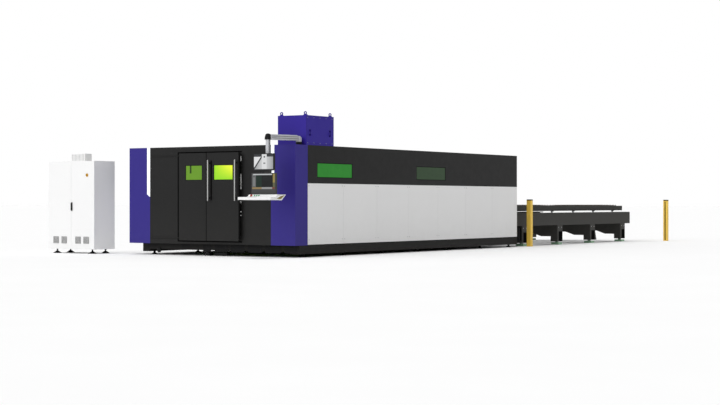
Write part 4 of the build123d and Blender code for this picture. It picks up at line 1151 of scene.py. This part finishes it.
# Black plates of painted shade where the legs' pockets lie in shadow.
pocket_shade_proud, pocket_shade_before, pocket_shade_behind, pocket_shade_edge = 0.002, 0.075, 0.135, 0.001
pocket_shade_low_z, pocket_shade_high_z = 0.01, 0.262
leg_bolt_aside, leg_bolt_z, leg_bolt_radius, leg_bolt_height = 0.085, 0.45, 0.011, 0.008
pocket_shades = bmesh.new()
bolts = bmesh.new()
for stand in range(stand_count):
    stand_y = low.y + leg_depth / 2 + stand_pitch * stand
    for face_x, facing in ((high.x, 1), (low.x, -1)):
        pocket_shade_low = (face_x - pocket_shade_proud, stand_y - pocket_shade_before, low.z + pocket_shade_low_z)
        pocket_shade_high = (face_x + pocket_shade_proud, stand_y + pocket_shade_behind, low.z + pocket_shade_high_z)
        add_block(pocket_shades, pocket_shade_low, pocket_shade_high, pocket_shade_edge)
        for offset in (-leg_bolt_aside, leg_bolt_aside):
            leg_bolt = (face_x, stand_y + offset, leg_bolt_z)
            add_bolt(bolts, leg_bolt, (facing, 0, 0), leg_bolt_radius, leg_bolt_height)
keep(pocket_shades, "leg_pocket_shades", "black_and_painted_shade", "machine")
keep(bolts, "leg_bolts", "bolt_steel", "machine")

# %% Post lenses
low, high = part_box("guard_posts")
# The strips are a dark lens, darkened further as painted shade in the slot.
post_half, lens_half, lens_front, lens_depth, lens_inset = 0.06, 0.012, 0.003, 0.011, 0.022
lens_and_slot_shade = bmesh.new()
for post_x, slot_y, inward in (
    (low.x + post_half, low.y + 2 * post_half, -1),
    (high.x - post_half, high.y - 2 * post_half, 1),
):
    near, far = sorted((slot_y + inward * lens_front, slot_y + inward * lens_depth))
    lens_low = (post_x - lens_half, near, lens_inset)
    add_block(lens_and_slot_shade, lens_low, (post_x + lens_half, far, high.z - lens_inset))
keep(lens_and_slot_shade, "post_lens_and_slot_shade", "black_plastic", "machine")

# %% [markdown]
# ## Screws and seams
# Cover plates are screwed on. A small screw sits in each corner of the side panels, bolts hold the
# tower's cover, a dark washer sits under each foot of its handles, and folded strips cover the
# joints between the roof panels. Threads would never be seen, so a screw is a washer and a head.

# %% Side panel screws
low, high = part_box("side_panels")
panel_count, screw_inset, sill = 7, 0.045, 0.05
screw_radius, screw_height = 0.006, 0.003
panel_pitch = (high.y - low.y) / panel_count
screws = bmesh.new()
for number in range(panel_count):
    panel_low = low.y + panel_pitch * number
    for screw_y in (panel_low + screw_inset, panel_low + panel_pitch - screw_inset):
        for height in (low.z + screw_inset + sill, high.z - screw_inset):
            for face_x, facing in ((high.x, 1), (low.x, -1)):
                screw = (face_x, screw_y, height)
                add_bolt(screws, screw, (facing, 0, 0), screw_radius, screw_height)
keep(screws, "panel_screws", "bolt_steel", "machine")

# %% Bolts and handle washers of the tower cover
low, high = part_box("tower_housing")
bolt_count, bolt_inset = 5, 0.06
bolt_run = high.y - low.y - 2 * bolt_inset
bolts = bmesh.new()
for along in range(bolt_count):
    for height in (low.z + screw_inset, high.z - screw_inset):
        bolt_y = low.y + bolt_inset + along * bolt_run / (bolt_count - 1)
        add_bolt(bolts, (high.x, bolt_y, height), (1, 0, 0), screw_radius, screw_height)
keep(bolts, "cover_bolts", "bolt_steel", "machine")

washer_inner, washer_outer, washer_depth = 0.009, 0.02, 0.002
grip_places, grip_heights = (front_y + 0.511, front_y + 1.217), (2.464, 2.558)
washers = bmesh.new()
for grip_y in grip_places:
    for height in grip_heights:
        washer = (high.x + washer_depth / 2, grip_y, height)
        add_ring(washers, washer, (1, 0, 0), washer_inner, washer_outer, washer_depth, 24)
keep(washers, "grip_washers", "black_and_painted_shade", "machine")

# %% Roof joint strips
low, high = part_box("roof_panels")
roof_pitch = (high.y - low.y) / panel_count
strip_inset, strip_half, strip_height, strip_edge = 0.02, 0.025, 0.003, 0.001
strips = bmesh.new()
for number in range(1, panel_count):
    joint_y = low.y + roof_pitch * number
    strip_low = (low.x + strip_inset, joint_y - strip_half, high.z)
    strip_high = (high.x - strip_inset, joint_y + strip_half, high.z + strip_height)
    add_block(strips, strip_low, strip_high, strip_edge)
keep(strips, "roof_strips", "graphite_coat", "machine")

# %% [markdown]
# ## Cutting head
# Clamp rings hold the lens barrel of the cutting head. A spun ring is hollow, so it can sit round
# the barrel, where a rod would be buried in it.

# %% Rings of the cutting head
low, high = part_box("cutting_head")
head_x, head_y = (low.x + high.x) / 2, (low.y + high.y) / 2
clamp_inner, clamp_outer, clamp_depth = 0.0345, 0.041, 0.008
clamp_heights = (1.405, 1.375, 1.352)
rings = bmesh.new()
for height in clamp_heights:
    clamp = (head_x, head_y, height)
    add_ring(rings, clamp, upright, clamp_inner, clamp_outer, clamp_depth)
keep(rings, "head_rings", "bolt_steel", "laser_head")

# %% [markdown]
# ## Light and floor
# The photograph is a cut-out on white: the fronts are brightest, the machine's right side is about
# six tenths as bright, and a dark shadow with soft edges lies under it. A weak white sky and a wide
# sun from the left front light the machine. A second sun from straight above lights only the floor
# and the tops, so the floor is white without any glow and keeps its shadow. The sky is at full
# white only for rays that the camera, a gloss or a glass sends.

# %% Sky
sky_light = 0.46
world = bpy.data.worlds.new("sky")
world.use_nodes = True
bpy.context.scene.world = world
tree = world.node_tree
tree.nodes.clear()
sky = Flow(tree)
paths = tree.nodes.new("ShaderNodeLightPath").outputs
seen = Flow(tree, paths["Is Camera Ray"]) + Flow(tree, paths["Is Glossy Ray"])
seen = (seen + Flow(tree, paths["Is Transmission Ray"])).at_most(1.0)
lighting = sky.node("ShaderNodeBackground", None, {"Color": (1, 1, 1, 1), "Strength": sky_light})
backdrop = sky.node("ShaderNodeBackground", None, {"Color": (1, 1, 1, 1), "Strength": 1.0})
blend = tree.nodes.new("ShaderNodeMixShader")
tree.links.new(seen.socket, blend.inputs[0])
tree.links.new(lighting.socket, blend.inputs[1])
tree.links.new(backdrop.socket, blend.inputs[2])
out = tree.nodes.new("ShaderNodeOutputWorld")
tree.links.new(blend.outputs[0], out.inputs["Surface"])
print("the sky lights at", sky_light, "and shows at 1.0")


# %% Suns
def add_sun(name, energy, angle, towards):
    """A sun with its energy and its width in degrees. It shines towards a direction."""
    lamp = bpy.data.lights.new(name, "SUN")
    lamp.energy = energy
    lamp.angle = math.radians(angle)
    sun = bpy.data.objects.new(name, lamp)
    bpy.context.scene.collection.objects.link(sun)
    sun.rotation_mode = "QUATERNION"
    sun.rotation_quaternion = Vector(towards).to_track_quat("-Z", "Y")


add_sun("front_sun", 1.45, 60, (0.45, 0.75, -0.5))
add_sun("overhead_sun", 1.15, 25, (0.0, 0.0, -1.0))
print("two suns")

# %% Floor
place, surface = start("floor_white", specular=0.0)
faint = noise(place, 0.6, 2.0)
floor_white = place.mix(faint, tint(246, 246, 246), tint(249, 249, 249))
place.feed(surface.inputs["Base Color"], floor_white)
surface.inputs["Roughness"].default_value = 0.9
floor_size = 400
slab = bmesh.new()
bmesh.ops.create_grid(slab, x_segments=1, y_segments=1, size=floor_size)
mesh = bpy.data.meshes.new("floor")
slab.to_mesh(mesh)
slab.free()
mesh.materials.append(materials["floor_white"])
floor = bpy.data.objects.new("floor", mesh)
bpy.context.scene.collection.objects.link(floor)
print("the floor is", mesh.materials[0].name)

# %% [markdown]
# ## Camera
# The photograph was taken at chest height from far away on the right front, with the camera level.
# The place, the turn and the lens were worked out from the vanishing lines of the enclosure.

# %% Camera
camera_place, camera_turn, focal_length = (21.190, -33.874, 1.102), 33.3, 79.25
lens = bpy.data.cameras.new("camera")
lens.lens = focal_length
lens.sensor_width = 36
lens.clip_end = 900
camera = bpy.data.objects.new("camera", lens)
camera.location = camera_place
camera.rotation_euler = (math.radians(90), 0, math.radians(camera_turn))
bpy.context.scene.collection.objects.link(camera)
bpy.context.scene.camera = camera
bpy.context.scene.view_settings.view_transform = "Standard"
print("camera", [round(x, 2) for x in camera.location])
